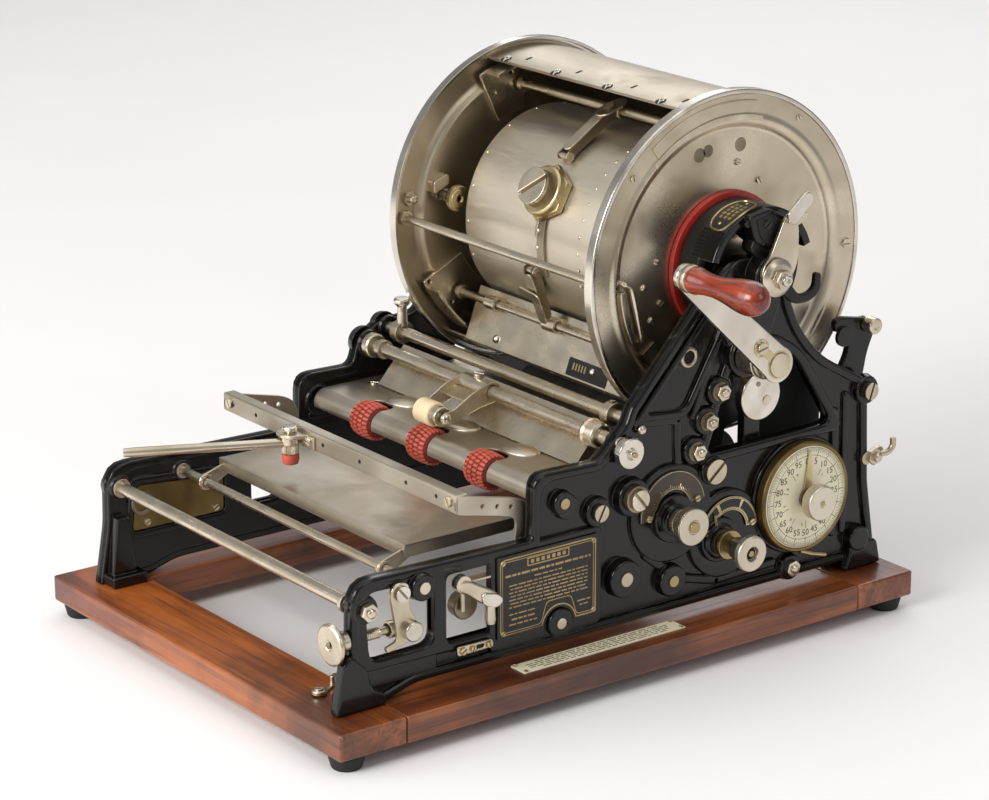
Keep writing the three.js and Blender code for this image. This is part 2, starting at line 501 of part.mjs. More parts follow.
// ---- small controls on the crank-side frame ----
function controls() {
  const face = FRAME.outer + GAP;
  add(root, 'front_knob', new THREE.LatheGeometry([[0, -232], [13, -232], [14, -231], [14, -228.5],
    [13, -227.5], [7, -227.5], [7, -219], [4, -219], [4, -185], [0, -185]]
    .map(([r, y]) => new THREE.Vector2(r, y)), ROUND), NICKEL, [147, 0, 76]);
  const bell = join(plate(link(0, 0, 6.5, 6, -25, 6.5), face, face + 3), alongX(5, face, face + 6),
    alongX(6, face - 8, face + 8, 6, -25), plate(link(6, -25, 4, -12, -35, 3), face, face + 2.5));
  add(root, 'bell_crank', bell, NICKEL, [0, -179.5, 100.5]);

  const thumb = join(plate(link(0, 0, 5, 28, -16, 4), face + 2.5, face + 6), alongX(6, face, face + 7),
    plate(link(22, -12.6, 5, 32, -18, 4.5), face + 2.5, face + 10));
  add(root, 'thumb_lever', thumb, NICKEL, [0, -133, 98]);
  const slide = rounded([[-14, -3.5], [14, -3.5], [14, 3.5], [-14, 3.5]], 3);
  const latch = join(plate(slide, face, face + 2.5), alongX(2.6, face, face + 5.5, -7, 0, HOLE));
  add(root, 'slide_latch', latch, BRASS, [0, -121, 50.5]);

  add(root, 'spacing_knob', turned([[face, 0], [face, 9], [160, 9], [160, 7], [169, 7], [169, 12.4],
    [170, 13.2], [175, 13.2], [176, 12.4], [176, 0]], WIDE), NICKEL, [0, KNOB_A.y, KNOB_A.z]);
  add(root, 'margin_knob', turned([[face, 0], [face, 11], [157, 11], [157, 8], [165, 8], [165, 6],
    [184, 6], [184, 12], [185, 12.6], [188.5, 12.6], [189.5, 12], [189.5, 0]], WIDE), NICKEL,
    [0, KNOB_B.y, KNOB_B.z]);
  const dialFace = face + 7;
  const hand = join(turned([[dialFace - 5, 0], [dialFace - 5, 4.5], [dialFace + 0.7, 4.5],
    [dialFace + 0.7, 7], [168, 7], [168, 12], [169, 12.6], [176, 12.6], [177, 12], [177, 0]]),
    plate(rounded([[-5, 0], [5, 0], [1.2, 33], [-1.2, 33]]), dialFace + 0.7, dialFace + 2.2));
  const turnedHand = add(root, 'counter_hand', hand, NICKEL, [0, DIAL.y, DIAL.z]);
  turnedHand.rotation.x = rad(2);

  const { y, z } = REAR_LEVER;
  const horn = rounded([[206, 203], [206, 211], [242, 206], [243, 197], [237, 184], [230, 156], [210, 152],
    [211, 170], [220, 186], [222, 200]], 3);
  add(root, 'rear_lever', join(plate(horn, 132, 137.5), alongX(6, 137, 147, 236, 204),
    alongX(4, 137, INNER - GAP, y, z, HOLE)), BLACK);
}

base();
sideFrames();
crossPieces();
faces();
drum();
hub();
crank();
feed();
impression();
paperTray();
controls();

// the origin is the middle of the object's footprint
root.updateMatrixWorld(true);
const middle = new THREE.Box3().setFromObject(root, true).getCenter(new THREE.Vector3());
root.position.set(-middle.x, -middle.y, 0);

export default root;
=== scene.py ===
# Visual model of a hand-cranked stencil duplicator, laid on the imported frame.
# Shapes are drawn in millimetres about the middle of the wooden base, and written out in metres.
from contextlib import contextmanager
from math import asin, atan2, copysign, cos, degrees, pi, radians, sin, tau
import bmesh
import bpy
from mathutils import Matrix, Vector
from mathutils.geometry import tessellate_polygon


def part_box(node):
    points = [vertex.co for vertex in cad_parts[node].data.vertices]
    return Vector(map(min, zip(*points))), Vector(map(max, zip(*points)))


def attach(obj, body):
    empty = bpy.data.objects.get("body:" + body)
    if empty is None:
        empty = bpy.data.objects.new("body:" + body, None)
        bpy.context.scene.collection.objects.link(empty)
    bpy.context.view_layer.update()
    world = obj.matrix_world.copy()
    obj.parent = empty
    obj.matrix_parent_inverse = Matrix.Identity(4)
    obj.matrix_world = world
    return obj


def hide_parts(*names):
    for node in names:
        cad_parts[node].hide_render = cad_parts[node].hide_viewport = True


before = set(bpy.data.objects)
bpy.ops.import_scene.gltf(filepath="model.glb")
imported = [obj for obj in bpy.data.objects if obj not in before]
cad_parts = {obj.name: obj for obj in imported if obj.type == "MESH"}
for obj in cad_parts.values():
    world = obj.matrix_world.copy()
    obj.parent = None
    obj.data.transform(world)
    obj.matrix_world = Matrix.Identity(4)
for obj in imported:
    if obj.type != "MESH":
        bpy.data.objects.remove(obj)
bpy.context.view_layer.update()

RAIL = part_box("base_rail_front")
# the frame's rail gives the sideways place of the base, in millimetres
SHIFT = 500 * (RAIL[0].x + RAIL[1].x)
TO_ROW = Matrix.Scale(0.001, 4) @ Matrix.Translation((SHIFT, 0, 0))

# local x, y, z laid along the world's Y, Z, X or Z, X, Y
ALONG_Y = Matrix(((0, 0, 1, 0), (1, 0, 0, 0), (0, 1, 0, 0), (0, 0, 0, 1)))
ALONG_Z = Matrix(((0, 1, 0, 0), (0, 0, 1, 0), (1, 0, 0, 0), (0, 0, 0, 1)))

BASE_WIDTH, BASE_DEPTH = 362, 494
SIDE_RAIL, END_RAIL = 46, 52        # how wide the base's rails are
BOARD, DECK = 10.3, 29              # under and upper side of the wooden base
WEB_IN, WEB_OUT = 142, 148.6        # faces of a side frame's web
FACE = 152                          # outer face of the side frames
TABLE_TOP = 141.2                   # upper side of the feed table
DRUM = (2.8, 121.4, 263.9)          # middle of the drum
AXLE = (0, 121.4, 263.9)
DRUM_HALF = 116.6                   # from the drum's middle to a flange's rim
FAR_DISH = -DRUM_HALF + 7.3         # inner face of the far flange, from the drum's middle
HEAD_ROD, TAIL_ROD = (88.5, 96), (88.5, 221.8)      # radius and angle in the drum
CRANK = (0, 108.7, 209.3)
CRANK_REACH, CRANK_ANGLE = 110.7, 137.6
FEED = (0, -41, 131)
TYRES = (-78, -9.5, 59)
DIAL = (0, 162.5, 96)
FRONT_ROD = (-212.4, 98.6)          # rods, shafts and pivots across the machine: y, z
TRAY_ROD = (-162, 101.4)
FRONT_SHAFT = (1.6, 165.3)
REAR_SHAFT = (18.8, 175.3)
YOKE_ROD = (58, 106)
BAIL_PIVOT = (-72, 106)
ROLLER = (121.4, 115.6)
CAM = (126, 175)
HOLD_PIN = (-44, -133)              # x, y
FRONT_SCREW = (147, 0, 76)


# ---- outlines: lists of (y, z) ----
def circle(y, z, r, n=40):
    return [(y + r * cos(tau * i / n), z + r * sin(tau * i / n)) for i in range(n)]


def polar(r, angle, y=0.0, z=0.0):
    lean = radians(angle)
    return y + r * cos(lean), z + r * sin(lean)


def arc(r, start, end, n=24, y=0, z=0):
    return [polar(r, start + (end - start) * i / n, y, z) for i in range(n + 1)]


def sector(r0, r1, start, end, n=24, y=0, z=0):
    return arc(r1, start, end, n, y, z) + arc(r0, end, start, n, y, z)


def link(y0, z0, r0, y1, z1, r1, n=12):
    lean = degrees(atan2(z1 - z0, y1 - y0))
    return arc(r0, lean + 90, lean + 270, n, y0, z0) + arc(r1, lean - 90, lean + 90, n, y1, z1)


def rect(y0, z0, y1, z1, r=0.0):
    return rounded([(y0, z0), (y1, z0), (y1, z1), (y0, z1)], r)


def rounded(points, radius=0.0, n=4, closed=True):
    """Corners eased; a point may carry its own radius as a third number."""
    result = []
    count = len(points)
    for i, point in enumerate(points):
        here = Vector(point[:2])
        if not closed and i in (0, count - 1):
            result.append(tuple(here))
            continue
        before = Vector(points[i - 1][:2]) - here
        after = Vector(points[(i + 1) % count][:2]) - here
        size = min(point[2] if len(point) > 2 else radius, before.length * 0.49, after.length * 0.49)
        if size < 1e-3:
            result.append(tuple(here))
            continue
        start, end = here + before.normalized() * size, here + after.normalized() * size
        for k in range(n + 1):
            t = k / n
            result.append(tuple(start * (1 - t) ** 2 + here * 2 * t * (1 - t) + end * t * t))
    return result


def knurl(r, low, n):
    """A circle with n ridges, between the radii r and low."""
    return [(radius * cos(tau * (i + share) / n), radius * sin(tau * (i + share) / n))
            for i in range(n) for radius, share in ((r, 0.0), (low, 0.5))]


def area(points):
    return sum(points[i - 1][0] * points[i][1] - points[i][0] * points[i - 1][1]
               for i in range(len(points))) / 2


def leans(points):
    """Mitred normals, pointing to the left of the path."""
    result = []
    for i in range(len(points)):
        here = Vector(points[i][:2])
        a = (here - Vector(points[i - 1][:2])).normalized()
        b = (Vector(points[(i + 1) % len(points)][:2]) - here).normalized()
        mean = Vector((-(a.y + b.y), a.x + b.x))
        if mean.length < 1e-6:
            mean = Vector((-a.y, a.x))
        mean.normalize()
        result.append(mean / max(0.45, mean.dot(Vector((-a.y, a.x)))))
    return result


def inset(points, distance):
    """The outline moved inwards; extra numbers of a point are kept."""
    side = 1 if area(points) > 0 else -1
    return [(p[0] + side * distance * v.x, p[1] + side * distance * v.y, *p[2:])
            for p, v in zip(points, leans(points))]


# ---- one mesh made of many shapes ----
class Piece:
    """Every shape names its look by its place in the piece's own list of looks."""
    def __init__(self, name, body, slot, *looks):
        self.name, self.body, self.slot, self.looks = name, body, slot, looks
        self.verts, self.faces, self.marks = [], [], []
        self.at = Matrix.Identity(4)

    def move(self, x=0.0, y=0.0, z=0.0, turn=0.0, axis="X", lay=None):
        """Where the next shapes are drawn."""
        self.at = Matrix.Translation((x, y, z)) @ Matrix.Rotation(radians(turn), 4, axis)
        if lay is not None:
            self.at = self.at @ lay

    @contextmanager
    def placed(self, x, y, z, turn=0.0):
        """Shapes inside the block are drawn about a place and turned about local X."""
        keep = self.at
        self.at = keep @ Matrix.Translation((x, y, z)) @ Matrix.Rotation(radians(turn), 4, "X")
        yield
        self.at = keep

    def put(self, verts, faces, look=0):
        start = len(self.verts)
        self.verts += [self.at @ Vector(v) for v in verts]
        self.faces += [[start + i for i in face] for face in faces]
        self.marks += [look] * len(faces)

    def plate(self, outlines, x0, x1, look=0, soft=0.5, steps=3):
        """Flat plate with eased edges; every outline after the first is a hole."""
        if isinstance(outlines[0][0], (int, float)):
            outlines = [outlines]
        soft = min(soft, (x1 - x0) * 0.48)
        loops = []
        for i, outline in enumerate(outlines):
            wanted = 1 if i == 0 else -1
            outline = [p[:2] for p in outline]
            loops.append(outline if area(outline) * wanted > 0 else outline[::-1])
        ring = [(inward, x0 + up) for up, inward in
                [(soft * (1 - cos(t)), soft * (1 - sin(t)))
                 for t in (pi / 2 * k / steps for k in range(steps + 1))]]
        ring += [(inward, x1 - (x - x0)) for inward, x in reversed(ring)]
        verts, faces, first, last = [], [], [], []
        for loop in loops:
            n = len(loop)
            mitres = leans(loop)
            base = len(verts)
            for inward, x in ring:
                verts += [(x, p[0] + v.x * inward, p[1] + v.y * inward) for p, v in zip(loop, mitres)]
            for k in range(len(ring) - 1):
                for i in range(n):
                    j = (i + 1) % n
                    a = base + k * n
                    faces.append([a + i, a + j, a + n + j, a + n + i])
            first += range(base, base + n)
            last += range(base + (len(ring) - 1) * n, base + len(ring) * n)
        flat = []
        for loop in loops:
            mitres = leans(loop)
            flat.append([Vector((p[0] + v.x * soft, p[1] + v.y * soft, 0)) for p, v in zip(loop, mitres)])
        for a, b, c in tessellate_polygon(flat):
            faces.append([first[a], first[b], first[c]])
            faces.append([last[c], last[b], last[a]])
        self.put(verts, faces, look)

    def block(self, x0, y0, z0, x1, y1, z1, look=0, soft=0.5):
        self.plate(rect(y0, z0, y1, z1, soft), x0, x1, look, soft)

    def lathe(self, profile, look=0, sides=48, soft=0.0):
        """Turned about local X; the profile lists (x, radius)."""
        if soft:
            profile = rounded(profile, soft, 3, closed=profile[0] == profile[-1])
        verts, faces, rings = [], [], []
        for x, r in profile:
            start = len(verts)
            if r < 1e-4:
                verts.append((x, 0, 0))
                rings.append([start] * sides)
                continue
            verts += [(x, r * cos(tau * i / sides), r * sin(tau * i / sides))
                      for i in range(sides)]
            rings.append(list(range(start, start + sides)))
        for a, b in zip(rings, rings[1:]):
            if a[0] == a[1] and b[0] == b[1]:
                continue
            for i in range(sides):
                j = (i + 1) % sides
                face = [a[i], a[j], b[j], b[i]]
                faces.append(list(dict.fromkeys(face)))
        self.put(verts, faces, look)

    def rod(self, x0, x1, r, look=0, sides=24, soft=0.6):
        self.lathe([(x0, 0), (x0, r), (x1, r), (x1, 0)], look, sides, soft)

    def collar(self, x0, x1, r0, r1, look=0, sides=32, soft=0.5, closed=False):
        """Ring between two radii; closed rounds its inner corners too."""
        self.lathe([(x0, r0), (x0, r1), (x1, r1), (x1, r0)] + [(x0, r0)] * closed, look, sides, soft)

    def tube(self, points, r, look=0, sides=12, bend=0.0):
        """Round bar along a path of (x, y, z); bend eases its corners."""
        path = [Vector(p) for p in points]
        if bend:
            eased = [path[0]]
            for a, b, c in zip(path, path[1:], path[2:]):
                size = min(bend, (a - b).length * 0.49, (c - b).length * 0.49)
                s, e = b + (a - b).normalized() * size, b + (c - b).normalized() * size
                eased += [s * (1 - t) ** 2 + b * 2 * t * (1 - t) + e * t * t
                          for t in (k / 6 for k in range(7))]
            path = eased + [path[-1]]
        radii = r if isinstance(r, (list, tuple)) else [r] * len(path)
        heading = (path[1] - path[0]).normalized()
        side = heading.orthogonal().normalized()
        verts, faces = [path[0]], []
        for i, point in enumerate(path):
            ahead = path[min(i + 1, len(path) - 1)] - path[max(i - 1, 0)]
            ahead.normalize()
            side = (side - ahead * side.dot(ahead)).normalized()
            up = ahead.cross(side)
            verts += [point + (side * cos(a) + up * sin(a)) * radii[i]
                      for a in (tau * k / sides for k in range(sides))]
        verts.append(path[-1])
        for i in range(len(path) - 1):
            for k in range(sides):
                a, b = 1 + i * sides + k, 1 + i * sides + (k + 1) % sides
                faces.append([a, b, b + sides, a + sides])
        end = len(verts) - 1
        for k in range(sides):
            faces.append([0, 1 + (k + 1) % sides, 1 + k])
            faces.append([end, end - sides + k, end - sides + (k + 1) % sides])
        self.put(verts, faces, look)

    def sheet(self, outline_at, rows, columns, thick, look=0):
        """Thin curved sheet; outline_at(u, v) gives a point for u and v from 0 to 1."""
        grid = [[Vector(outline_at(i / rows,
                                   j / columns)) for j in range(columns + 1)] for i in range(rows + 1)]
        verts, faces = [], []
        for lift in (0.5, -0.5):
            for i in range(rows + 1):
                for j in range(columns + 1):
                    du = grid[min(i + 1, rows)][j] - grid[max(i - 1, 0)][j]
                    dv = grid[i][min(j + 1, columns)] - grid[i][max(j - 1, 0)]
                    verts.append(grid[i][j] + du.cross(dv).normalized() * thick * lift)
        w = columns + 1
        size = w * (rows + 1)
        for i in range(rows):
            for j in range(columns):
                a = i * w + j
                faces.append([a, a + 1, a + w + 1, a + w])
                faces.append([size + a, size + a + w, size + a + w + 1, size + a + 1])
        edge = [j for j in range(w)] + [i * w + columns for i in range(1, rows + 1)] \
            + [rows * w + j for j in range(columns - 1, -1, -1)] + [i * w for i in range(rows - 1, 0, -1)]
        for a, b in zip(edge, edge[1:] + edge[:1]):
            faces.append([a, a + size, b + size, b])
        self.put(verts, faces, look)

    def strap(self, start, end, across, wide, thick, look=0, wide_end=None):
        """Flat bar with round ends between two places."""
        start, end = Vector(start), Vector(end)
        along = (end - start).normalized()
        across = Vector(across)
        across = (across - along * across.dot(along)).normalized()
        with self.placed(*start):
            self.at = self.at @ Matrix((along.cross(across), along, across)).transposed().to_4x4()
            self.plate(link(0, 0, wide / 2, (end - start).length, 0, (wide_end or wide) / 2),
                       -thick / 2, thick / 2, look, 0.35)

    # small parts that stand along local X on a face at x
    def dome(self, x, y, z, r, h, look=0, sides=24):
        with self.placed(x, y, z):
            self.lathe([(-0.4, 0), (-0.4, r), (0, r)] + [(h * sin(t), r * cos(t)) for t in
                       (pi / 2 * k / 6 for k in range(1, 7))], look, sides)

    def disc(self, x, y, z, r, h, look=0, soft=0.5, taper=0.0, sides=32):
        with self.placed(x, y, z):
            self.lathe([(-0.4, 0), (-0.4, r), (h, r - taper), (h, 0)], look, sides, soft)

    def screw(self, x, y, z, r, h=2.5, turn=30, look=0, dark=None):
        """Cheese-head screw: a disc under two half moons, so that the slot is open."""
        depth = min(1.1, h * 0.55)
        reach = degrees(asin(0.13))
        with self.placed(x, y, z, turn):
            self.lathe([(-0.4, 0), (-0.4, r), (h - depth, r), (h - depth, 0)],
                       look if dark is None else dark, 32)
            for start in (0, 180):
                self.plate(arc(r, start + reach, start + 180 - reach, 20), h - depth - 0.05, h, look, 0.3, 2)

    def nut(self, x, y, z, r, h=4.0, look=0, bolt=None, turn=0):
        with self.placed(x, y, z, turn):
            self.plate(circle(0, 0, r, 6), -0.3, h, look, 0.7, 2)
            if bolt:
                self.lathe([(h - 1, 0), (h - 1, r * 0.52), (h + bolt, r * 0.52), (h + bolt + 0.8, r * 0.3),
                            (h + bolt + 0.8, 0)], look, 20, 0.3)

    def words(self, text, x, y, z, size, look):
        """Raised characters that read from +X."""
        curve = bpy.data.curves.new("characters", "FONT")
        curve.body, curve.size, curve.extrude = text, size, 0.1
        curve.align_x, curve.align_y = "CENTER", "CENTER"
        curve.resolution_u = 2
        holder = bpy.data.objects.new("characters", curve)
        mesh = bpy.data.meshes.new_from_object(holder)
        with self.placed(x, y, z):
            self.at = self.at @ ALONG_Y
            self.put([v.co.copy() for v in mesh.vertices], [list(p.vertices) for p in mesh.polygons], look)
        bpy.data.objects.remove(holder)
        bpy.data.curves.remove(curve)
        bpy.data.meshes.remove(mesh)

    def done(self, *nodes, angle=32):
        mesh = bpy.data.meshes.new(self.name)
        mesh.from_pydata([TO_ROW @ v for v in self.verts], [], self.faces)
        for look in self.looks:
            mesh.materials.append(LOOKS[look])
        mesh.polygons.foreach_set("material_index", self.marks)
        mesh.validate()
        bm = bmesh.new()
        bm.from_mesh(mesh)
        bmesh.ops.recalc_face_normals(bm, faces=bm.faces)
        bm.to_mesh(mesh)
        bm.free()
        mesh.polygons.foreach_set("use_smooth", [True] * len(mesh.polygons))
        mesh.set_sharp_from_angle(angle=radians(angle))
        piece = bpy.data.objects.new(self.name, mesh)
        bpy.context.scene.collection.objects.link(piece)
        weighted = piece.modifiers.new("even_normals", "WEIGHTED_NORMAL")
        weighted.keep_sharp = True
        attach(piece, self.body)
        if nodes:
            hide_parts(*nodes)


# ---- finishes ----
class Finish:
    """A node material around one Principled shader, in the object's own coordinates."""
    def __init__(self, **fixed):
        self.material = bpy.data.materials.new("finish")
        self.material.use_nodes = True
        self.tree = self.material.node_tree
        self.tree.nodes.clear()
        out = self.tree.nodes.new("ShaderNodeOutputMaterial")
        self.shader = self.tree.nodes.new("ShaderNodeBsdfPrincipled")
        self.tree.links.new(self.shader.outputs["BSDF"], out.inputs["Surface"])
        self.coords = self.tree.nodes.new("ShaderNodeTexCoord").outputs["Object"]
        for name, value in fixed.items():
            self.shader.inputs[name.replace("_", " ")].default_value = value

    def node(self, kind, inputs=(), **settings):
        node = self.tree.nodes.new(kind)
        for name, value in settings.items():
            setattr(node, name, value)
        for key, value in dict(inputs).items():
            if isinstance(value, bpy.types.NodeSocket):
                self.tree.links.new(value, node.inputs[key])
            else:
                node.inputs[key].default_value = value
        return node

    def stretched(self, by):
        return self.node("ShaderNodeMapping", {"Vector": self.coords, "Scale": by}).outputs[0]

    def noise(self, scale, detail=3.0, stretch=None, rough=0.55, shift=0.0):
        place = self.stretched(stretch) if stretch else self.coords
        node = self.node("ShaderNodeTexNoise", {"Vector": place, "Scale": scale, "Detail": detail,
                                                "Roughness": rough, "Distortion": shift})
        return node.outputs["Fac"]

    def fade(self, value, low, high, start=0.0, end=1.0):
        return self.node("ShaderNodeMapRange", {"Value": value, "From Min": low, "From Max": high,
                                                "To Min": start, "To Max": end}).outputs[0]

    def maths(self, what, a, b):
        return self.node("ShaderNodeMath", {0: a, 1: b}, operation=what).outputs[0]

    def mixed(self, share, a, b):
        return self.node("ShaderNodeMix", {0: share, 6: a, 7: b}, data_type="RGBA").outputs[2]

    def edges(self, radius):
        """1 along sharp edges, 0 on flat faces."""
        bevel = self.node("ShaderNodeBevel", {"Radius": radius}, samples=6).outputs[0]
        plain = self.node("ShaderNodeNewGeometry").outputs["Normal"]
        dot = self.node("ShaderNodeVectorMath", {0: bevel, 1: plain}, operation="DOT_PRODUCT").outputs["Value"]
        return self.fade(dot, 0.995, 0.9)

    def join(self, name, value):
        self.tree.links.new(value, self.shader.inputs[name])

    def bump(self, height, strength, distance):
        node = self.node("ShaderNodeBump", {"Height": height, "Strength": strength, "Distance": distance})
        self.join("Normal", node.outputs[0])


def tone(r, g, b):
    """A colour given as it looks on a screen, from 0 to 255."""
    return tuple((c / 255 / 12.92 if c < 10.3 else ((c / 255 + 0.055) / 1.055) ** 2.4) for c in (r, g,
                                                                                                 b)) + (1.0,)


def metal(light, dark, stain, rough, stretch=None, stained=(0.56, 0.74), fine=0.06, patch=22.0, dent=0.0):
    """Old plated metal: uneven tone, brushing along one way, and tarnish in patches."""
    f = Finish(Metallic=1.0)
    cloud = f.noise(patch, 3.0, rough=0.5, shift=0.6)
    body = f.mixed(f.fade(cloud, 0.36, 0.66), tone(*dark), tone(*light))
    spots = f.maths("MULTIPLY", f.fade(f.noise(28.0, 2.0), *stained),
                    f.fade(f.noise(9.0, 2.0), 0.42, 0.6))
    lines = f.noise(60.0, 4.0 if stretch else 2.0, stretch, rough=0.6 if stretch else 0.4)
    body = f.mixed(f.maths("MULTIPLY", spots, 0.45), body, tone(*stain))
    streaked = f.mixed(f.fade(lines, 0.3, 0.75, 0.0, 0.14), body, tone(*dark))
    f.join("Base Color", streaked)
    uneven = f.maths("ADD", f.fade(cloud, 0.3, 0.7, rough + fine, rough - fine), f.fade(lines, 0.3, 0.7, 0,
                                                                                        0.08))
    f.join("Roughness", f.maths("ADD", uneven, f.maths("MULTIPLY", spots, 0.10)))
    f.bump(f.maths("ADD", f.maths("MULTIPLY", lines, 0.2), f.maths("MULTIPLY", f.noise(14.0, 2.0), dent)),
           0.04, 0.0004)
    return f.material


def enamel(light, dark, rough=0.22, wear=0.35, coat=0.25):
    """Japanned iron: deep gloss, a slight orange peel, and rubbed edges."""
    f = Finish(Metallic=0.0, Coat_Weight=coat, Coat_Roughness=0.10, Specular_IOR_Level=0.3)
    cloud = f.noise(16.0, 4.0)
    body = f.mixed(f.fade(cloud, 0.35, 0.7), tone(*dark), tone(*light))
    rub = f.maths("MULTIPLY", f.edges(0.0011), f.fade(f.noise(70.0, 4.0), 0.38, 0.62))
    f.join("Base Color", f.mixed(f.maths("MULTIPLY", rub, wear), body, tone(128, 118, 108)))
    dust = f.fade(f.noise(130.0, 5.0), 0.45, 0.8)
    f.join("Roughness", f.maths("ADD", f.fade(cloud, 0.3, 0.7, rough, rough + 0.08),
                                f.maths("MULTIPLY", dust, 0.08)))
    f.bump(f.maths("ADD", f.noise(60.0, 2.0), f.maths("MULTIPLY", f.noise(420.0, 2.0), 0.12)), 0.09, 0.0005)
    return f.material


def timber(light, mid, dark, grain, rough=0.38, coat=0.35, figure=1.0, worn=(205, 150, 105)):
    """Varnished hardwood with its grain along one axis."""
    f = Finish(Metallic=0.0, Coat_Weight=coat, Coat_Roughness=0.18)
    stretch = tuple(0.055 if i == grain else 1.0 for i in range(3))
    bands = f.noise(46.0 * figure, 5.0, stretch, rough=0.6, shift=0.9)
    pores = f.noise(330.0 * figure, 5.0, tuple(0.03 if i == grain else 1.0 for i in range(3)), rough=0.7)
    body = f.mixed(f.fade(bands, 0.38, 0.58), tone(*mid), tone(*light))
    body = f.mixed(f.fade(f.noise(11.0, 4.0), 0.46, 0.66, 0.0, 0.75), body, tone(*dark))
    body = f.mixed(f.fade(pores, 0.50, 0.68, 0.0, 0.75), body, tone(*dark))
    rub = f.maths("MULTIPLY", f.edges(0.0016), f.fade(f.noise(55.0, 4.0), 0.36, 0.56))
    f.join("Base Color", f.mixed(f.maths("MULTIPLY", rub, 0.85), body, tone(*worn)))
    f.join("Roughness", f.maths("ADD", f.fade(pores, 0.3, 0.8, rough, rough + 0.18),
                                f.fade(f.noise(24.0, 4.0), 0.45, 0.7, 0.0, 0.16)))
    f.bump(f.maths("ADD", pores, f.maths("MULTIPLY", f.noise(30.0, 4.0), 0.5)), 0.22, 0.0005)
    return f.material


def plain(light, dark, rough, spots=60.0, bump=0.15, coat=0.0, dirt=(70, 55, 40), dirty=0.4, edge=0.0):
    """Rubber, paint, card or celluloid: mottled, with dirt in patches."""
    f = Finish(Metallic=0.0, Coat_Weight=coat, Coat_Roughness=0.15)
    cloud = f.noise(spots, 5.0)
    body = f.mixed(f.fade(cloud, 0.35, 0.68), tone(*dark), tone(*light))
    grime = f.fade(f.noise(spots * 0.6, 6.0, rough=0.7), 0.55, 0.78, 0.0, dirty)
    body = f.mixed(grime, body, tone(*dirt))
    # with edge, the dirt colour also darkens sharp edges and the creases at their feet
    if edge:
        body = f.mixed(f.maths("MULTIPLY", f.edges(0.0009), edge), body, tone(*dirt))
    f.join("Base Color", body)
    f.join("Roughness", f.fade(cloud, 0.3, 0.7, rough - 0.06, rough + 0.08))
    f.bump(f.noise(spots * 9, 4.0), bump, 0.0004)
    return f.material


LOOKS = {
    "nickel": metal((226, 215, 194), (190, 178, 155), (134, 112, 82), 0.25, None, (0.56, 0.86), dent=0.2),
    "polished": metal((232, 226, 214), (202, 194, 180), (150, 130, 102), 0.17, fine=0.03),
    "drum_metal": metal((220, 208, 186), (180, 166, 141), (122, 100, 72), 0.29, (1, 14, 14), patch=11.0,
                        dent=0.8),
    "skin": metal((200, 190, 172), (172, 160, 140), (122, 102, 78), 0.34, (1, 9, 9), patch=9.0),
    "pale_nickel": metal((226, 218, 202), (206, 196, 177), (172, 156, 130), 0.36, (1, 9, 9), (0.6, 0.8),
                         patch=7.0),
    "tray": metal((208, 200, 184), (170, 160, 143), (112, 92, 70), 0.33, (1.5, 12, 12), (0.52, 0.74),
                  patch=15.0, dent=1.0),
    "dark_nickel": metal((168, 156, 134), (112, 100, 82), (66, 52, 36), 0.36, dent=0.5),
    "brass": metal((206, 188, 142), (160, 140, 98), (88, 70, 44), 0.27),
    "pale_brass": metal((222, 208, 168), (186, 168, 126), (112, 92, 62), 0.26),
    "name_brass": plain((188, 160, 104), (150, 124, 76), 0.36, 60.0, 0.05, 0.2, (80, 62, 38), 0.4),
    "bronze": plain((74, 58, 42), (52, 40, 28), 0.42, 40.0, 0.06, 0.2, (30, 24, 18), 0.4),
    "dark_brass": metal((150, 128, 82), (108, 90, 56), (66, 52, 34), 0.38),
    "enamel": enamel((19, 17, 16), (11, 10, 9), 0.15),
    "satin_black": enamel((30, 28, 27), (18, 17, 16), 0.34, 0.2, 0.1),
    "plate_black": enamel((44, 41, 38), (32, 30, 28), 0.32, 0.1, 0.15),
    "wood_across": timber((168, 92, 38), (120, 56, 21), (54, 24, 11), 0, 0.26, 0.5, worn=(210, 152, 94)),
    "wood_along": timber((162, 90, 40), (114, 55, 23), (52, 24, 12), 1, 0.26, 0.5, worn=(210, 152, 94)),
    "grip_wood": timber((158, 54, 14), (98, 22, 8), (34, 7, 4), 0, 0.14, 0.55, 1.3, (140, 54, 24)),
    "red_rubber": plain((200, 92, 72), (170, 70, 54), 0.58, 90.0, 0.3, dirt=(112, 62, 48), dirty=0.5,
                        edge=0.35),
    # darker red for the tyre's core between the ribs: painted shade in the grooves
    "groove_shade_red": plain((138, 48, 38), (104, 34, 28), 0.66, 60.0, 0.2, dirt=(60, 24, 20), dirty=0.5),
    "red_paint": plain((186, 52, 42), (150, 34, 28), 0.40, 30.0, 0.06, 0.2, (84, 24, 18), 0.5),
    "black_rubber": plain((34, 33, 32), (20, 20, 20), 0.72, 60.0, 0.3),
    "grey_rubber": plain((66, 63, 60), (44, 42, 40), 0.66, 60.0, 0.2),
    "ivory": plain((240, 224, 188), (222, 200, 158), 0.36, 40.0, 0.08, 0.2, (150, 120, 80), 0.35),
    "cream": plain((240, 233, 202), (226, 218, 184), 0.42, 30.0, 0.04, 0.15, (150, 130, 84), 0.30),
    "ink": plain((38, 34, 28), (26, 24, 20), 0.55, 80.0, 0.05, dirty=0.1),
    "shadow": plain((18, 16, 14), (10, 9, 8), 0.8, 60.0, 0.05, dirty=0.1),
}
for finish_name, finish in LOOKS.items():
    finish.name = finish_name


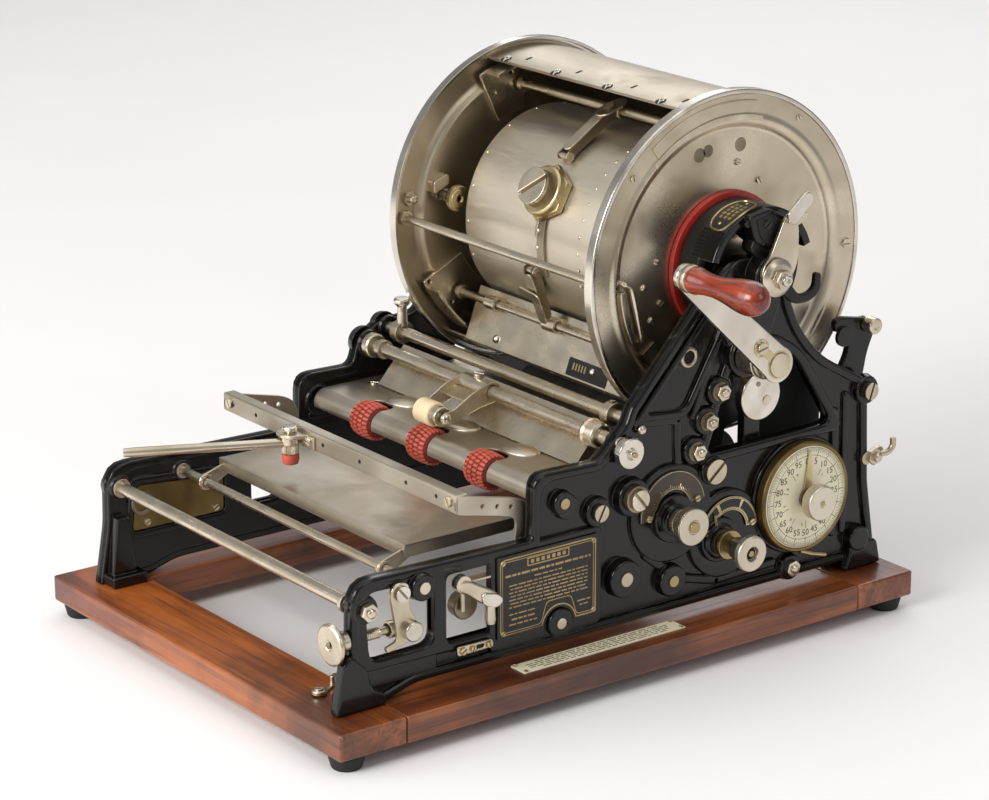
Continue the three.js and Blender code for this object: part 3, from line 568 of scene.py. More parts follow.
# ---- camera, floor and lights ----
def studio():
    scene = bpy.context.scene
    scene.view_settings.view_transform = "Standard"
    scene.view_settings.look = "None"
    # the photo's view, fitted to the base and the drum
    camera = bpy.data.cameras.new("camera")
    camera.lens, camera.sensor_width, camera.clip_end = 121.64, 36, 30
    holder = bpy.data.objects.new("camera", camera)
    holder.location = (1.7486, -1.3301, 0.8675)
    holder.rotation_euler = [radians(a) for a in (72.363, 0.113, 53.172)]
    scene.collection.objects.link(holder)
    scene.camera = holder

    world = bpy.data.worlds.new("studio")
    world.use_nodes = True
    world.node_tree.nodes["Background"].inputs[0].default_value = (0.97, 0.97, 1.0, 1)
    world.node_tree.nodes["Background"].inputs[1].default_value = 0.30
    scene.world = world

    def soft_box(name, place, target, size, power, colour):
        light = bpy.data.lights.new(name, "AREA")
        light.shape, light.size, light.size_y = "RECTANGLE", *size
        light.energy, light.color = power, colour
        lamp = bpy.data.objects.new(name, light)
        lamp.location = place
        lamp.rotation_euler = (Vector(target) - Vector(place)).to_track_quat("-Z", "Y").to_euler()
        scene.collection.objects.link(lamp)

    middle = (0, 0, 0.15)
    soft_box("overhead", (-0.6, 0.4, 4.4), (-0.6, 0.4, 0), (6.5, 6.5), 108, (1, 0.99, 0.98))
    soft_box("left", (-0.7, -2.3, 1.1), middle, (2.2, 1.6), 34, (1, 0.985, 0.96))
    soft_box("front", (0.4, -2.5, 1.5), middle, (1.2, 1.2), 48, (1, 0.99, 0.98))
    soft_box("right", (2.3, 0.6, 1.5), middle, (1.0, 1.4), 9, (0.97, 0.98, 1))
    soft_box("behind", (-1.6, 2.0, 1.8), middle, (2.0, 1.4), 18, (0.99, 0.99, 1))

    floor = bpy.data.meshes.new("floor")
    floor.from_pydata([(-5, -5, 0), (5, -5, 0), (5, 5, 0), (-5, 5, 0)], [], [(0, 1, 2, 3)])
    paper = Finish(Metallic=0.0, Roughness=0.85)
    paper.join("Base Color", paper.mixed(paper.fade(paper.noise(3.0), 0.3, 0.7), (0.86, 0.84, 0.83, 1),
                                         (0.88, 0.86, 0.85, 1)))
    floor.materials.append(paper.material)
    ground = bpy.data.objects.new("floor", floor)
    scene.collection.objects.link(ground)


studio()


# ---- wooden base ----
def base():
    for name, low in (("front", -BASE_DEPTH / 2), ("rear", BASE_DEPTH / 2 - END_RAIL)):
        rail = Piece(f"rail_{name}", "machine_frame", "wood", "wood_across")
        rail.plate(rect(low, BOARD, low + END_RAIL, DECK, 1.8), -BASE_WIDTH / 2, BASE_WIDTH / 2, 0, 2.0)
        rail.done(f"base_rail_{name}")
    inner = BASE_DEPTH / 2 - END_RAIL - 0.2
    for name, low in (("left", -BASE_WIDTH / 2), ("right", BASE_WIDTH / 2 - SIDE_RAIL)):
        rail = Piece(f"rail_{name}", "machine_frame", "wood", "wood_along")
        rail.plate(rect(-inner, BOARD, inner, DECK, 1.6), low, low + SIDE_RAIL, 0, 1.6)
        rail.done(f"base_rail_{name}")
    for row, y in (("front", -233), ("rear", 233)):
        for side, x in (("left", -167), ("right", 167)):
            foot = Piece(f"foot_{row}_{side}", "machine_frame", "black_rubber", "black_rubber", "dark_nickel")
            foot.move(x, y, 0, lay=ALONG_Z)
            foot.lathe([(2.2, 0), (2.2, 4.5), (0, 5), (0, 9.4), (1.2, 10.3), (7.6, 12), (9.9, 12),
                        (9.9, 0)], 0, 40, 0.5)
            foot.screw(1.0, 0, 0, 3.6, 1.2, 20, 1)
            foot.done(f"rubber_foot_{row}_{side}")

    strip = Piece("instruction_strip", "machine_frame", "cream_face", "cream", "ink", "brass")
    strip.at = ALONG_Z
    strip.plate(rect(153.4, -92, 169, 46, 0.6), DECK, DECK + 0.9, 0, 0.25)
    for row in range(5):
        x = 156.0 + row * 2.6
        short = 9 if row in (0, 4) else 0
        y = -83.0 + short
        k = row
        while y < 36 - short:
            word = 3.0 + (k * 7 % 5) * 1.3
            strip.plate(rect(x - 0.42, y, x + 0.42, min(y + word, 38)), DECK + 0.85, DECK + 0.97, 1, 0.02, 1)
            y += word + 1.5
            k += 3
    for x in (155.2, 167.2):
        for y in (-89.5, 43.5):
            strip.screw(DECK + 0.8, x, y, 1.5, 1.0, 35, 2)
    strip.done()

    clip = Piece("front_clip", "machine_frame", "satin_nickel", "nickel")
    clip.at = ALONG_Z
    clip.plate(link(116, -217, 2.6, 107, -202, 2.2), DECK + 0.1, DECK + 1.6, 0, 0.4)
    clip.plate(link(107.5, -203, 1.8, 106, -200, 1.8), DECK + 0.1, DECK + 6.5, 0, 0.6)
    clip.move(116.5, -219.5, DECK + 1.2, lay=ALONG_Z)
    clip.lathe([(0, 0), (0, 5.4), (2.2, 5.2), (2.8, 4.4), (2.8, 0)], 0, 24, 0.4)
    clip.screw(2.6, 0, 0, 3.2, 1.3, 60)
    clip.done()


# ---- cast side frames ----
def arm(front, step, shelf):
    return [(front, 29.3), (front + 7.5, 72, 6), (front + 8.5, 116, 18), (step - 1, 113, 4), (step, shelf, 12)]


BACK = [(150, 240, 10), (161, 216, 12), (180, 194, 14), (225, 168.5, 6), (228, 93, 4), (238, 29.3),
        (212, 29.3), (205, 36, 3), (-168, 36, 8), (-190, 29.3, 3)]
RIGHT = arm(-225, -71, 158) + [(-16, 156, 6), (7, 178, 3), (11, 188, 3), (92, 276, 8), (140, 276, 8)] + BACK
LEFT = arm(-230, -60, 152) + [(-13, 151, 6), (-8, 168, 4), (12, 181, 6), (46, 181, 10), (92, 276, 8),
                             (140, 276, 8)] + BACK
WINDOW_1 = [(-206, 106, 9), (-152, 104, 9), (-152, 59, 9), (-203, 58, 9)]
WINDOW_2 = [(-142, 104, 5), (-100, 104, 5), (-100, 57, 5), (-142, 57, 5)]
WINDOW_3 = [(-103, 88, 4), (-80, 88, 4), (-80, 63, 4), (-103, 63, 4)]
TRIANGLE = [(77, 142, 8), (99, 203, 8), (134, 212, 8), (157, 198, 10), (192, 143, 10)]
UPPER_PANEL = [(13, 177.5, 5), (60, 173, 7), (95, 232, 10), (92, 262, 8)]
BORES = [(*FEED[1:], 5.3), (*FRONT_SHAFT, 5.3), (*REAR_SHAFT, 4.8), (*FRONT_ROD, 4.8), (*TRAY_ROD, 3.5),
         (*YOKE_ROD, 5.3), (*BAIL_PIVOT, 4.3)]


def near_frame():
    p = Piece("crank_side_frame", "machine_frame", "black_enamel", "enamel")
    outline = rounded(RIGHT)
    windows = [rounded(w) for w in (WINDOW_1, WINDOW_2, TRIANGLE)]
    bores = [circle(y, z, r, 24) for y, z, r in BORES + [(*AXLE[1:], 8.3), (*CRANK[1:], 7.3)]]
    p.plate([outline, *windows, *bores], WEB_IN, WEB_OUT, 0, 1.0)
    # rims, raised along the outline and round each opening
    p.plate([outline, rounded(inset(RIGHT, 6.5))], WEB_IN + 0.4, FACE, 0, 2.2, 4)
    p.plate([rounded(inset([(y, z, r + 3) for y, z, r in TRIANGLE], -7)), rounded(TRIANGLE)], WEB_IN + 0.4,
            FACE, 0, 2.2, 4)
    front_web = rounded([(-221.5, 52, 3), (-214.5, 74, 4), (-213.5, 111.5, 15), (-96, 110, 4), (-96, 50, 4)])
    p.plate([front_web, rounded(WINDOW_1), rounded(WINDOW_2)], WEB_IN + 0.4, FACE - 0.3, 0, 1.8, 4)
    panel = rounded(UPPER_PANEL)
    p.plate([panel, rounded(inset(UPPER_PANEL, 5))], 146, FACE, 0, 1.6, 4)
    # flat lands that carry the plates and controls
    p.plate(rounded([(-107, 42, 3), (-14, 42, 6), (-14, 112, 6), (-107, 112, 3)]), 146, FACE - 0.1, 0, 1.2)
    p.plate(circle(46.5, 107, 35, 64), 146, FACE - 0.1, 0, 1.5)
    p.plate(circle(95, 82, 32, 64), 146, FACE - 0.2, 0, 1.5)
    p.plate(circle(*DIAL[1:], 43, 72), 146, FACE - 0.1, 0, 1.5)
    p.plate(rounded([(-212, 40, 3), (-150, 40, 3), (-150, 56, 3), (-205, 56, 3)]), 146, FACE - 0.5, 0, 1.5)
    p.plate(rounded([(-233, 29.6, 2), (-194, 29.6, 2), (-194, 37, 3), (-206, 44, 5), (-207.5, 56, 5),
                     (-221, 69.5, 4), (-226.5, 64, 2)]), 148, 157, 0, 2.0, 4)
    p.plate(rounded([(205, 29.6, 3), (240, 29.6, 2), (236, 48, 4), (214, 52, 8)]), 148, 155, 0, 2.0, 4)
    # inner feet that stand on the deck
    for low, high in ((-222, -200), (200, 230)):
        p.block(134, low, 29.3, 143, high, 36, 0, 1.5)
        p.plate(rounded([(low + 8, 30), (high - 8, 30), (high - 10, 66), (low + 10, 66)]), 138, 143, 0, 1.5)
    # ribs on the web
    for y0, z0, y1, z1, r in ((52, 171, 53, 140, 3), (16, 176, 52, 172, 3), (66, 172, 99, 252, 3.2),
                              (196, 150, 196, 60, 3.2), (206, 60, 206, 160, 3),
                              (26, 80, 54, 58, 3.4), (54, 58, 88, 48.5, 3.4), (88, 48.5, 140, 50, 3.4)):
        p.plate(link(y0, z0, r, y1, z1, r), 146, FACE - 0.8, 0, 1.6)
    # bosses: (y, z, radius, height over the face)
    for y, z, r, high in ((*AXLE[1:], 14, 12), (*CRANK[1:], 16, 4), (-44, 131, 8.5, 1.5),
                          (-163, 102, 9, 4), (-206, 95, 9, 0.4), (-17.7, 121.6, 10, 1.5),
                          (11.4, 126, 13, 3), (81.6, 130.7, 10, 2), (86.5, 186.3, 9.5, 1),
                          (76.3, 166.9, 9.5, 1), (66.1, 147.5, 9.5, 1), (155.5, 43.4, 9, 1),
                          (223.9, 160.9, 10, 1), (-47.3, 134.2, 8, 2), (-51, 51, 10, 3.5),
                          (4.3, 69.6, 13, 4), (46.6, 58.5, 11, 3), (218, 52, 9, 4), (46.5, 104, 17, 4),
                          (88, 79.5, 16, 3)):
        p.disc(FACE - 5, y, z, r + 1.5, high + 5, 0, 1.2, 1.5, 40)
    # the cranked arm that carries the hub
    p.plate([rounded([(84, 262, 6), (82, 238, 8), (106, 196, 8), (126, 206, 8), (140, 240, 8), (143, 262, 6),
                      (132, 277, 8), (98, 277, 8)]), circle(*AXLE[1:], 8.4, 32), circle(*CRANK[1:], 7.4, 28)],
            141, 153.4, 0, 2.0, 4)
    p.block(134, 119, 138, 142, 133, 182, 0, 1)
    p.done("side_frame_right", angle=38)

    guard = Piece("gear_guard", "machine_frame", "black_enamel", "satin_black")
    plate = rounded([(70, 134, 6), (70, 205, 10), (92, 244, 10), (148, 244, 10), (172, 212, 10),
                     (206.5, 170, 8), (206.5, 127, 4), (146, 127, 2), (144, 152, 3), (118, 146, 3),
                     (116, 134, 2)])
    guard.plate([plate, circle(*AXLE[1:], 26, 40)], 120.6, 122.2, 0, 0.4)
    guard.done()

    s = Piece("crank_side_fittings", "machine_frame", "satin_nickel", "nickel", "brass", "ivory", "shadow",
              "dark_brass", "dark_nickel")
    x = FACE
    s.nut(x + 1, -206, 95, 6.4, 4.5, 0, 1.6, 12)
    s.disc(x + 4, -163, 102, 4.2, 1.2, 0, 0.5)
    s.screw(x + 1.5, -17.7, 121.6, 6, 3.2, 62, 0, 5)
    s.disc(x + 3, 11.4, 126, 9.5, 4, 5, 0.8)
    s.screw(x + 6.8, 11.4, 126, 7.4, 3.2, -50, 0, 5)
    s.screw(x + 2, 81.6, 130.7, 8.8, 3.6, 40, 0, 5)
    for y, z, turn in ((86.5, 186.3, 8), (76.3, 166.9, 25), (66.1, 147.5, 0)):
        s.disc(x + 1, y, z, 6.6, 1.0, 5, 0.3)
        s.nut(x + 1.8, y, z, 6.0, 4.6, 0, 1.8, turn)
    s.nut(x + 1, 155.5, 43.4, 6.2, 3.6, 0, 1.2, 14)
    s.dome(x, 19.4, 171.7, 3.4, 2.2, 0)
    s.screw(x + 1, 223.9, 160.9, 6.2, 4.5, 70, 0, 5)
    s.disc(x + 2, -47.3, 134.2, 3.8, 0.9, 1, 0.4)
    s.disc(x + 3.5, -51, 51, 3.9, 0.9, 0, 0.4)
    s.disc(x + 4, 4.3, 69.6, 5.0, 1.0, 0, 0.4)
    s.disc(x + 3, 46.6, 58.5, 4.0, 0.9, 1, 0.4)
    # ring with a disc in the shadow look at the foot of its bore: painted shade in the hole
    s.move(x - 3.3, 61.2, 214.3)
    s.lathe([(0, 4.6), (0, 7.6), (1.9, 7.2), (2.5, 5.8), (1.9, 4.6), (0, 4.6)], 0, 40, 0.4)
    s.rod(0, 0.4, 4.8, 3)
    s.move()
    # rod under the dial and the hook at the rear
    s.tube([(157, 160, 56), (159, 168, 53), (160, 181, 49.6)], 1.7, 1)
    s.nut(x, 231, 111, 6.6, 4, 0, 3.2, 20)
    s.plate(link(225, 110, 4.6, 237, 112.5, 4.2), 150, 153.5, 0, 0.6)
    s.tube([(155, 236, 112), (158, 241, 113), (158.6, 244.6, 117), (158.4, 244.8, 123)], 2.3, 0, 12, 3)
    s.done()

    # two arc scales with their screws
    for name, y, z, radius, wide, x0, look in (("spacing_scale", 46.5, 109, 26.5, 12, FACE, "bronze"),
                                               ("margin_scale", 97, 83, 23.5, 8, FACE + 0.3, "pale_brass")):
        a = Piece(name, "machine_frame", "brass", look, "pale_brass", "plate_black")
        ink = 1 if wide > 10 else 2
        if wide < 10:
            for low, high in ((10, 58), (64, 114), (120, 170)):
                a.plate(rounded(sector(radius - 5.6, radius + 0.4, low, high, 16, y, z), 0.8), x0 + 1.1,
                        x0 + 1.45, 2, 0.08, 1)
        start, end = (8, 188) if name == "spacing_scale" else (4, 176)
        a.plate(rounded(sector(radius - wide, radius + 2, start, end, 40, y, z)), x0, x0 + 1.3, 0, 0.35)
        for t in range(31):
            angle = start + 6 + (end - start - 12) * t / 30
            long = 3.4 if t % 5 == 0 else 1.8
            r0 = radius - wide + 1.4
            a.tube([(x0 + 1.32, *polar(r, angle, y, z)) for r in (r0, r0 + long)], 0.17, ink, 5)
        for ring in (radius - wide + 0.9, radius + 1.2):
            a.plate(sector(ring - 0.18, ring + 0.18, start + 3, end - 3, 40, y, z), x0 + 1.2, x0 + 1.45,
                    ink, 0.05, 1)
        for angle in (start + 5, end - 5):
            a.screw(x0 + 1.2, *polar(radius - wide / 2 + 1, angle, y, z), 2.4, 1.7, 20, 1)
        a.done()


def far_frame():
    p = Piece("far_side_frame", "machine_frame", "black_enamel", "enamel")
    outline = rounded(LEFT)
    bores = [circle(y, z, r, 24) for y, z, r in BORES + [(*AXLE[1:], 8.3)]]
    p.plate([outline, rounded(WINDOW_3), rounded(TRIANGLE), *bores], -WEB_OUT, -WEB_IN, 0, 1.0)
    p.plate([outline, rounded(inset(LEFT, 6.5))], -FACE, -141.8, 0, 1.7, 4)
    for window, wide in ((WINDOW_3, 5), (TRIANGLE, 7)):
        p.plate([rounded(inset([(y, z, r + 3) for y, z, r in window], -wide)), rounded(window)],
                -FACE, -141.8, 0, 1.7, 4)
    p.plate([rounded([(-205, 104, 6), (-122, 98, 6), (-122, 58, 6), (-210, 58, 6)]),
             rounded([(-200, 99, 5), (-127, 93, 5), (-127, 63, 5), (-205, 63, 5)])], -146, -139.6, 0, 1.4)
    for low, high in ((-228, -200), (200, 230)):
        p.block(-143, low, 29.3, -128, high, 37, 0, 1.5)
        p.plate(rounded([(low + 3, 30), (high - 4, 30), (high - 10, 78), (low + 8, 78)]), -143, -134, 0, 2)
    for y, z, r, high in ((*AXLE[1:], 14, 4), (-44, 131, 12, 3), (*FRONT_ROD, 9, 2), (*TRAY_ROD, 8, 2),
                          (*FRONT_SHAFT, 11, 2), (*REAR_SHAFT, 9, 2), (*YOKE_ROD, 11, 2), (*BAIL_PIVOT, 9, 2)):
        p.move(-FACE + 5, y, z, 180, "Z")
        p.disc(0, 0, 0, r + 1.5, high + 5, 0, 1.2, 1.5, 36)
        p.move(-WEB_IN, y, z)
        p.disc(0, 0, 0, r, 2.2, 0, 0.9, 1.0, 36)
    p.move()
    for y0, z0, y1, z1, r in ((60, 176, 99, 252, 3.2), (196, 150, 196, 60, 3.2), (-50, 60, 180, 60, 3.4),
                              (-50, 120, 60, 120, 3.4), (206, 60, 206, 160, 3)):
        p.plate(link(y0, z0, r, y1, z1, r), -FACE + 0.8, -146, 0, 1.6)
        p.plate(link(y0, z0, r, y1, z1, r), -144, -140.4, 0, 1.4)
    p.done("side_frame_left", angle=38)

    s = Piece("far_side_fittings", "machine_frame", "satin_nickel", "nickel", "dark_brass", "dark_nickel")
    s.plate(rounded([(-199, 97, 4), (-128, 91, 4), (-128, 64, 4), (-204, 64, 4)]), -142.2, -140.8, 1, 0.3)
    s.plate([circle(-196, 84, 9, 36), circle(-196, 84, 6, 36)], -141, -139.2, 2, 0.5)
    for y, z in ((-135, 88), (-135, 68), (-192, 69)):
        s.screw(-141, y, z, 2.6, 1.6, 30, 0)
    for y, z in (FRONT_ROD, TRAY_ROD, FRONT_SHAFT, REAR_SHAFT, YOKE_ROD, BAIL_PIVOT):
        s.move(-FACE - 2, y, z, 180, "Z")
        s.nut(0, 0, 0, 6.4, 3.2, 0, 1.0, 10)
    s.move(-FACE - 4, *AXLE[1:], 180, "Z")
    s.nut(0, 0, 0, 11, 2, 0, None, 10)
    s.move()
    s.done()


base()
near_frame()
far_frame()


# ---- rods and sheets between the frames ----
def cross_pieces():
    for name, node, place, r in (("front_rod", "front_tie_rod", FRONT_ROD, 4.5),
                                 ("tray_bar", "tray_rod", TRAY_ROD, 3.2),
                                 ("yoke_rod", "impression_pivot_rod", YOKE_ROD, 5)):
        rod = Piece(name, "machine_frame", "satin_nickel", "nickel")
        rod.move(0, *place)
        rod.rod(-150, 150, r, 0, 32, 0.8)
        for x in (-141.7, 138.2):
            rod.collar(x, x + 3.5, r, r + 2.4, 0, 32, 0.5)
        rod.done(node)

    front = Piece("front_shaft", "machine_frame", "satin_nickel", "nickel", "polished", "brass")
    front.move(0, *FRONT_SHAFT)
    front.rod(-150, 153, 5, 0, 40, 0.8)
    front.lathe([(-140, 5), (-140, 8.4), (-138.6, 9.2), (-133.4, 9.2), (-132, 8.2), (-132, 5)], 0, 48, 0.4)
    front.collar(-126, -121, 5, 7, 0, 40, 0.4)
    front.lathe([(118, 5), (118, 9.4), (120, 10.2), (122, 9.4), (130, 9), (131.5, 7.5), (131.5, 5)], 0, 48,
                0.4)
    front.move(0, 4.2, 160.2)
    front.lathe([(152.5, 0), (152.5, 8.2), (154.5, 8.2), (154.5, 10.6), (160.2, 10.6), (160.6, 9.8),
                 (160.6, 4.4), (160.1, 3.8), (160.1, 3.4), (163, 3), (163, 0)], 1, 48, 0.35)
    front.lathe([(162.8, 0), (162.8, 2.0), (165, 1.8), (165, 0)], 2, 20, 0.2)
    front.done("front_cross_shaft")

    rear = Piece("rear_shaft", "machine_frame", "satin_nickel", "nickel", "polished", "dark_nickel")
    rear.move(0, *REAR_SHAFT)
    rear.rod(-150, 150, 4.5, 0, 40, 0.8)
    for x in (-129, 117):
        rear.collar(x, x + 8, 4.5, 8.4, 0, 44, 0.8)
    rear.move(121, REAR_SHAFT[0], REAR_SHAFT[1] + 8, lay=ALONG_Z)
    rear.screw(0, 0, 0, 2.3, 1.4, 30, 2)
    rear.move(-124, *REAR_SHAFT, lay=ALONG_Z)
    rear.lathe([(5, 0), (5, 4.2), (16, 3.6), (19.5, 3.6), (21, 5.2), (22.4, 6.3), (24.6, 6.3), (26, 5.2),
                (26, 0)], 1, 40, 0.4)
    rear.done("rear_cross_shaft")

    # feed table: flat sheet, rolled down over the feed shaft, pressed hollow behind each tyre
    table = Piece("feed_table", "machine_frame", "steel_sheet", "tray", "nickel")
    wide = 137
    table.at = ALONG_Z
    table.plate([rounded([(-wide, -41.6), (wide, -41.6), (wide, 84, 3), (-wide, 84, 3)]),
                 *[rounded([(x - 13, -41.0, 0.3), (x + 13, -41.0, 0.3), (x + 13, -32, 4), (x + 7, -27, 6),
                            (x - 7, -27, 6), (x - 13, -32, 4)]) for x in TYRES]],
                TABLE_TOP - 1.5, TABLE_TOP, 0, 0.3, 2)
    table.move()
    stops = [-wide] + [x + s for x in TYRES for s in (-13, 13)] + [wide]
    for x0, x1 in zip(stops[::2], stops[1::2]):
        outline = sector(8.7, 10.2, 90, 196, 20, *FEED[1:])
        table.plate(outline, x0, x1, 0, 0.25, 2)
    for x in TYRES:
        table.at = Matrix.Translation((x + 6, -15.5, 141.0)) @ Matrix.Rotation(radians(12), 4, "Z") \
            @ Matrix.Diagonal((15.5, 10.5, 3.4, 1)) @ ALONG_Z
        table.dome(0, 0, 0, 1, 1, 0, 48)
    table.at = ALONG_Z
    for x, y in ((-122, 60), (122, 60), (-122, -8), (122, -8)):
        table.screw(141.1, x, y, 3.2, 1.3, 40, 1)
    table.done("feed_table")

    guide = Piece("stripper", "machine_frame", "satin_nickel", "nickel")
    outline = rounded([(-8.2, 142.3), (-6.6, 141.5), (15.7, 166.2), (22, 163), (22.8, 164.3), (15, 168.4)],
                      0.4)
    guide.plate(outline, -117, 115, 0, 0.35, 2)
    for x in (-116.2, 113.4):
        guide.plate(rounded([(-6, 142.6, 1), (14.6, 166.8, 1), (21.5, 164.6, 1), (20, 157, 6), (2, 142.8, 5)]),
                    x, x + 1.3, 0, 0.3)
    for x in (-96, -30, 36, 94):
        guide.move(x, 4.2, 154.4, 137.8, lay=ALONG_Y)
        guide.dome(0, 0, 0, 2.4, 1.2)
    guide.done("stripper_plate")


# ---- nameplate and counting dial ----
def faces():
    p = Piece("nameplate", "machine_frame", "black_enamel", "plate_black", "name_brass", "pale_brass")
    x = FACE + 0.3
    outline = rounded([(-102.5, 50, 1), (-64, 50, 1)] + arc(12.2, 180, 0, 16, -51.6, 50)
                      + [(-18.5, 50, 1), (-18.5, 107.5, 1), (-102.5, 107.5, 1)])
    p.plate(outline, x, x + 1.2, 0, 0.3)
    edge = [(-100.6, 51.9, 4), (-65.5, 51.9, 1)] + arc(14.0, 172, 8, 16, -51.6, 50) \
        + [(-20.4, 51.9, 4), (-20.4, 105.6, 4), (-100.6, 105.6, 4)]
    p.plate([rounded(edge), rounded(inset(edge, 0.9))], x + 1.0, x + 1.5, 1, 0.1, 1)
    inner = [(y + (1.9 if y < -51.6 else -1.9), z + (1.9 if z < 80 else -1.9), 3) for y,
             z in ((-100.6, 51.9), (-68.4, 51.9), (-63.5, 66.5), (-39.7, 66.5), (-35, 51.9), (-20.4, 51.9),
                   (-20.4, 105.6), (-100.6, 105.6))]
    p.plate([rounded(inner), rounded(inset(inner, 0.5))], x + 1.0, x + 1.4, 1, 0.08, 1)
    for y, z in ((-98.4, 103.4), (-22.6, 103.4), (-98.4, 54.1), (-22.6, 54.1)):
        p.screw(x + 1.1, y, z, 1.9, 1.1, 40, 2)
    # plain rules stand where the wording was
    p.plate([rect(-78, 97, -43, 103, 0.8), rect(-77.2, 97.8, -43.8, 102.2, 0.5)], x + 1.0, x + 1.4, 1, 0.08, 1)
    for k in range(7):
        p.plate(rect(-75 + k * 4.4, 98.7, -72.4 + k * 4.4, 101.3, 0.3), x + 1.0, x + 1.4, 1, 0.06, 1)
    rows = [(93.4, -96, -25, 1.5)] + [(89.4, -72, -49, 0.9)] + [(86.2 - 2.55 * k, -93 + (k % 2), -27.5, 0.9)
                                                             for k in range(7)]
    rows += [(66, -93, -70, 0.9), (62.4, -91, -72, 1.2), (58.8, -93, -70, 0.9), (63, -36, -25, 0.9),
             (60, -34, -27, 0.9)]
    for k, (z, y0, y1, high) in enumerate(rows):
        y, step = y0, k * 3 + 1
        while y < y1:
            word = min(y1 - y, 2.2 + (step * 7 % 5) * 1.15)
            if word > 0.8:
                p.plate(rect(y, z - high / 2, y + word, z + high / 2, 0.15), x + 1.0, x + 1.32, 1, 0.05, 1)
            y += word + 1.1
            step += 2
    p.done("nameplate")

    d = Piece("counting_dial", "machine_frame", "cream_face", "cream", "dark_brass", "ink")
    d.move(*DIAL)
    face = FACE + 0.3
    d.lathe([(face, 4.9), (face, 40.6), (face + 5.6, 40.2), (face + 6.8, 39.2), (face + 6.8, 37.4),
             (face + 5.8, 36.8), (face + 2, 36.6), (face + 2, 4.9), (face, 4.9)], 1, 96, 0.4)
    d.lathe([(face + 1.5, 4.9), (face + 1.5, 37), (face + 6.5, 37), (face + 6.9, 36.4), (face + 6.9, 4.9),
             (face + 1.5, 4.9)], 0, 96, 0.2)
    top = face + 6.85
    for tick in range(200):
        long = 5.2 if tick % 10 == 0 else 3.6 if tick % 2 == 0 else 2.4
        lean = tau * tick / 200
        s, c = sin(lean), cos(lean)
        half = 0.17 if tick % 10 == 0 else 0.11
        r0, r1 = 36.0 - long, 36.0
        d.put([(top + h, r * s + w * c, r * c - w * s) for h in (0, 0.14) for r, w in
               ((r0, -half), (r0, half), (r1, half), (r1, -half))],
              [[4, 5, 6, 7], [0, 1, 5, 4], [1, 2, 6, 5], [2, 3, 7, 6], [3, 0, 4, 7]], 2)
    for ring in (36.1, 30.4):
        d.plate([circle(0, 0, ring + 0.13, 90), circle(0, 0, ring - 0.13, 90)], top, top + 0.14, 2, 0.03, 1)
    for k in range(20):
        lean = radians(18 * k)
        d.words("0" if k == 0 else str(k * 5), top, 26.2 * sin(lean), 26.2 * cos(lean), 6.6, 2)
        d.move(*DIAL, -18 * k)
        d.plate(rect(-0.2, 29.8, 0.2, 36.2), top, top + 0.14, 2, 0.02, 1)
        if k % 2 == 0:
            d.plate(rect(-0.16, 17.2, 0.16, 22.6), top, top + 0.14, 2, 0.02, 1)
            d.words(str(k // 2), top, 3.4, 19.4, 3.4, 2)
        d.move(*DIAL)
    d.done("counter_dial")


# ---- drum ----
def around(angle, r, x, centre=DRUM):
    """A place round the axle: local X points outwards, local Z along the axle."""
    turned = Matrix.Translation(centre) @ Matrix.Rotation(radians(angle), 4, "X")
    return turned @ Matrix.Translation((x, r, 0)) @ ALONG_Y


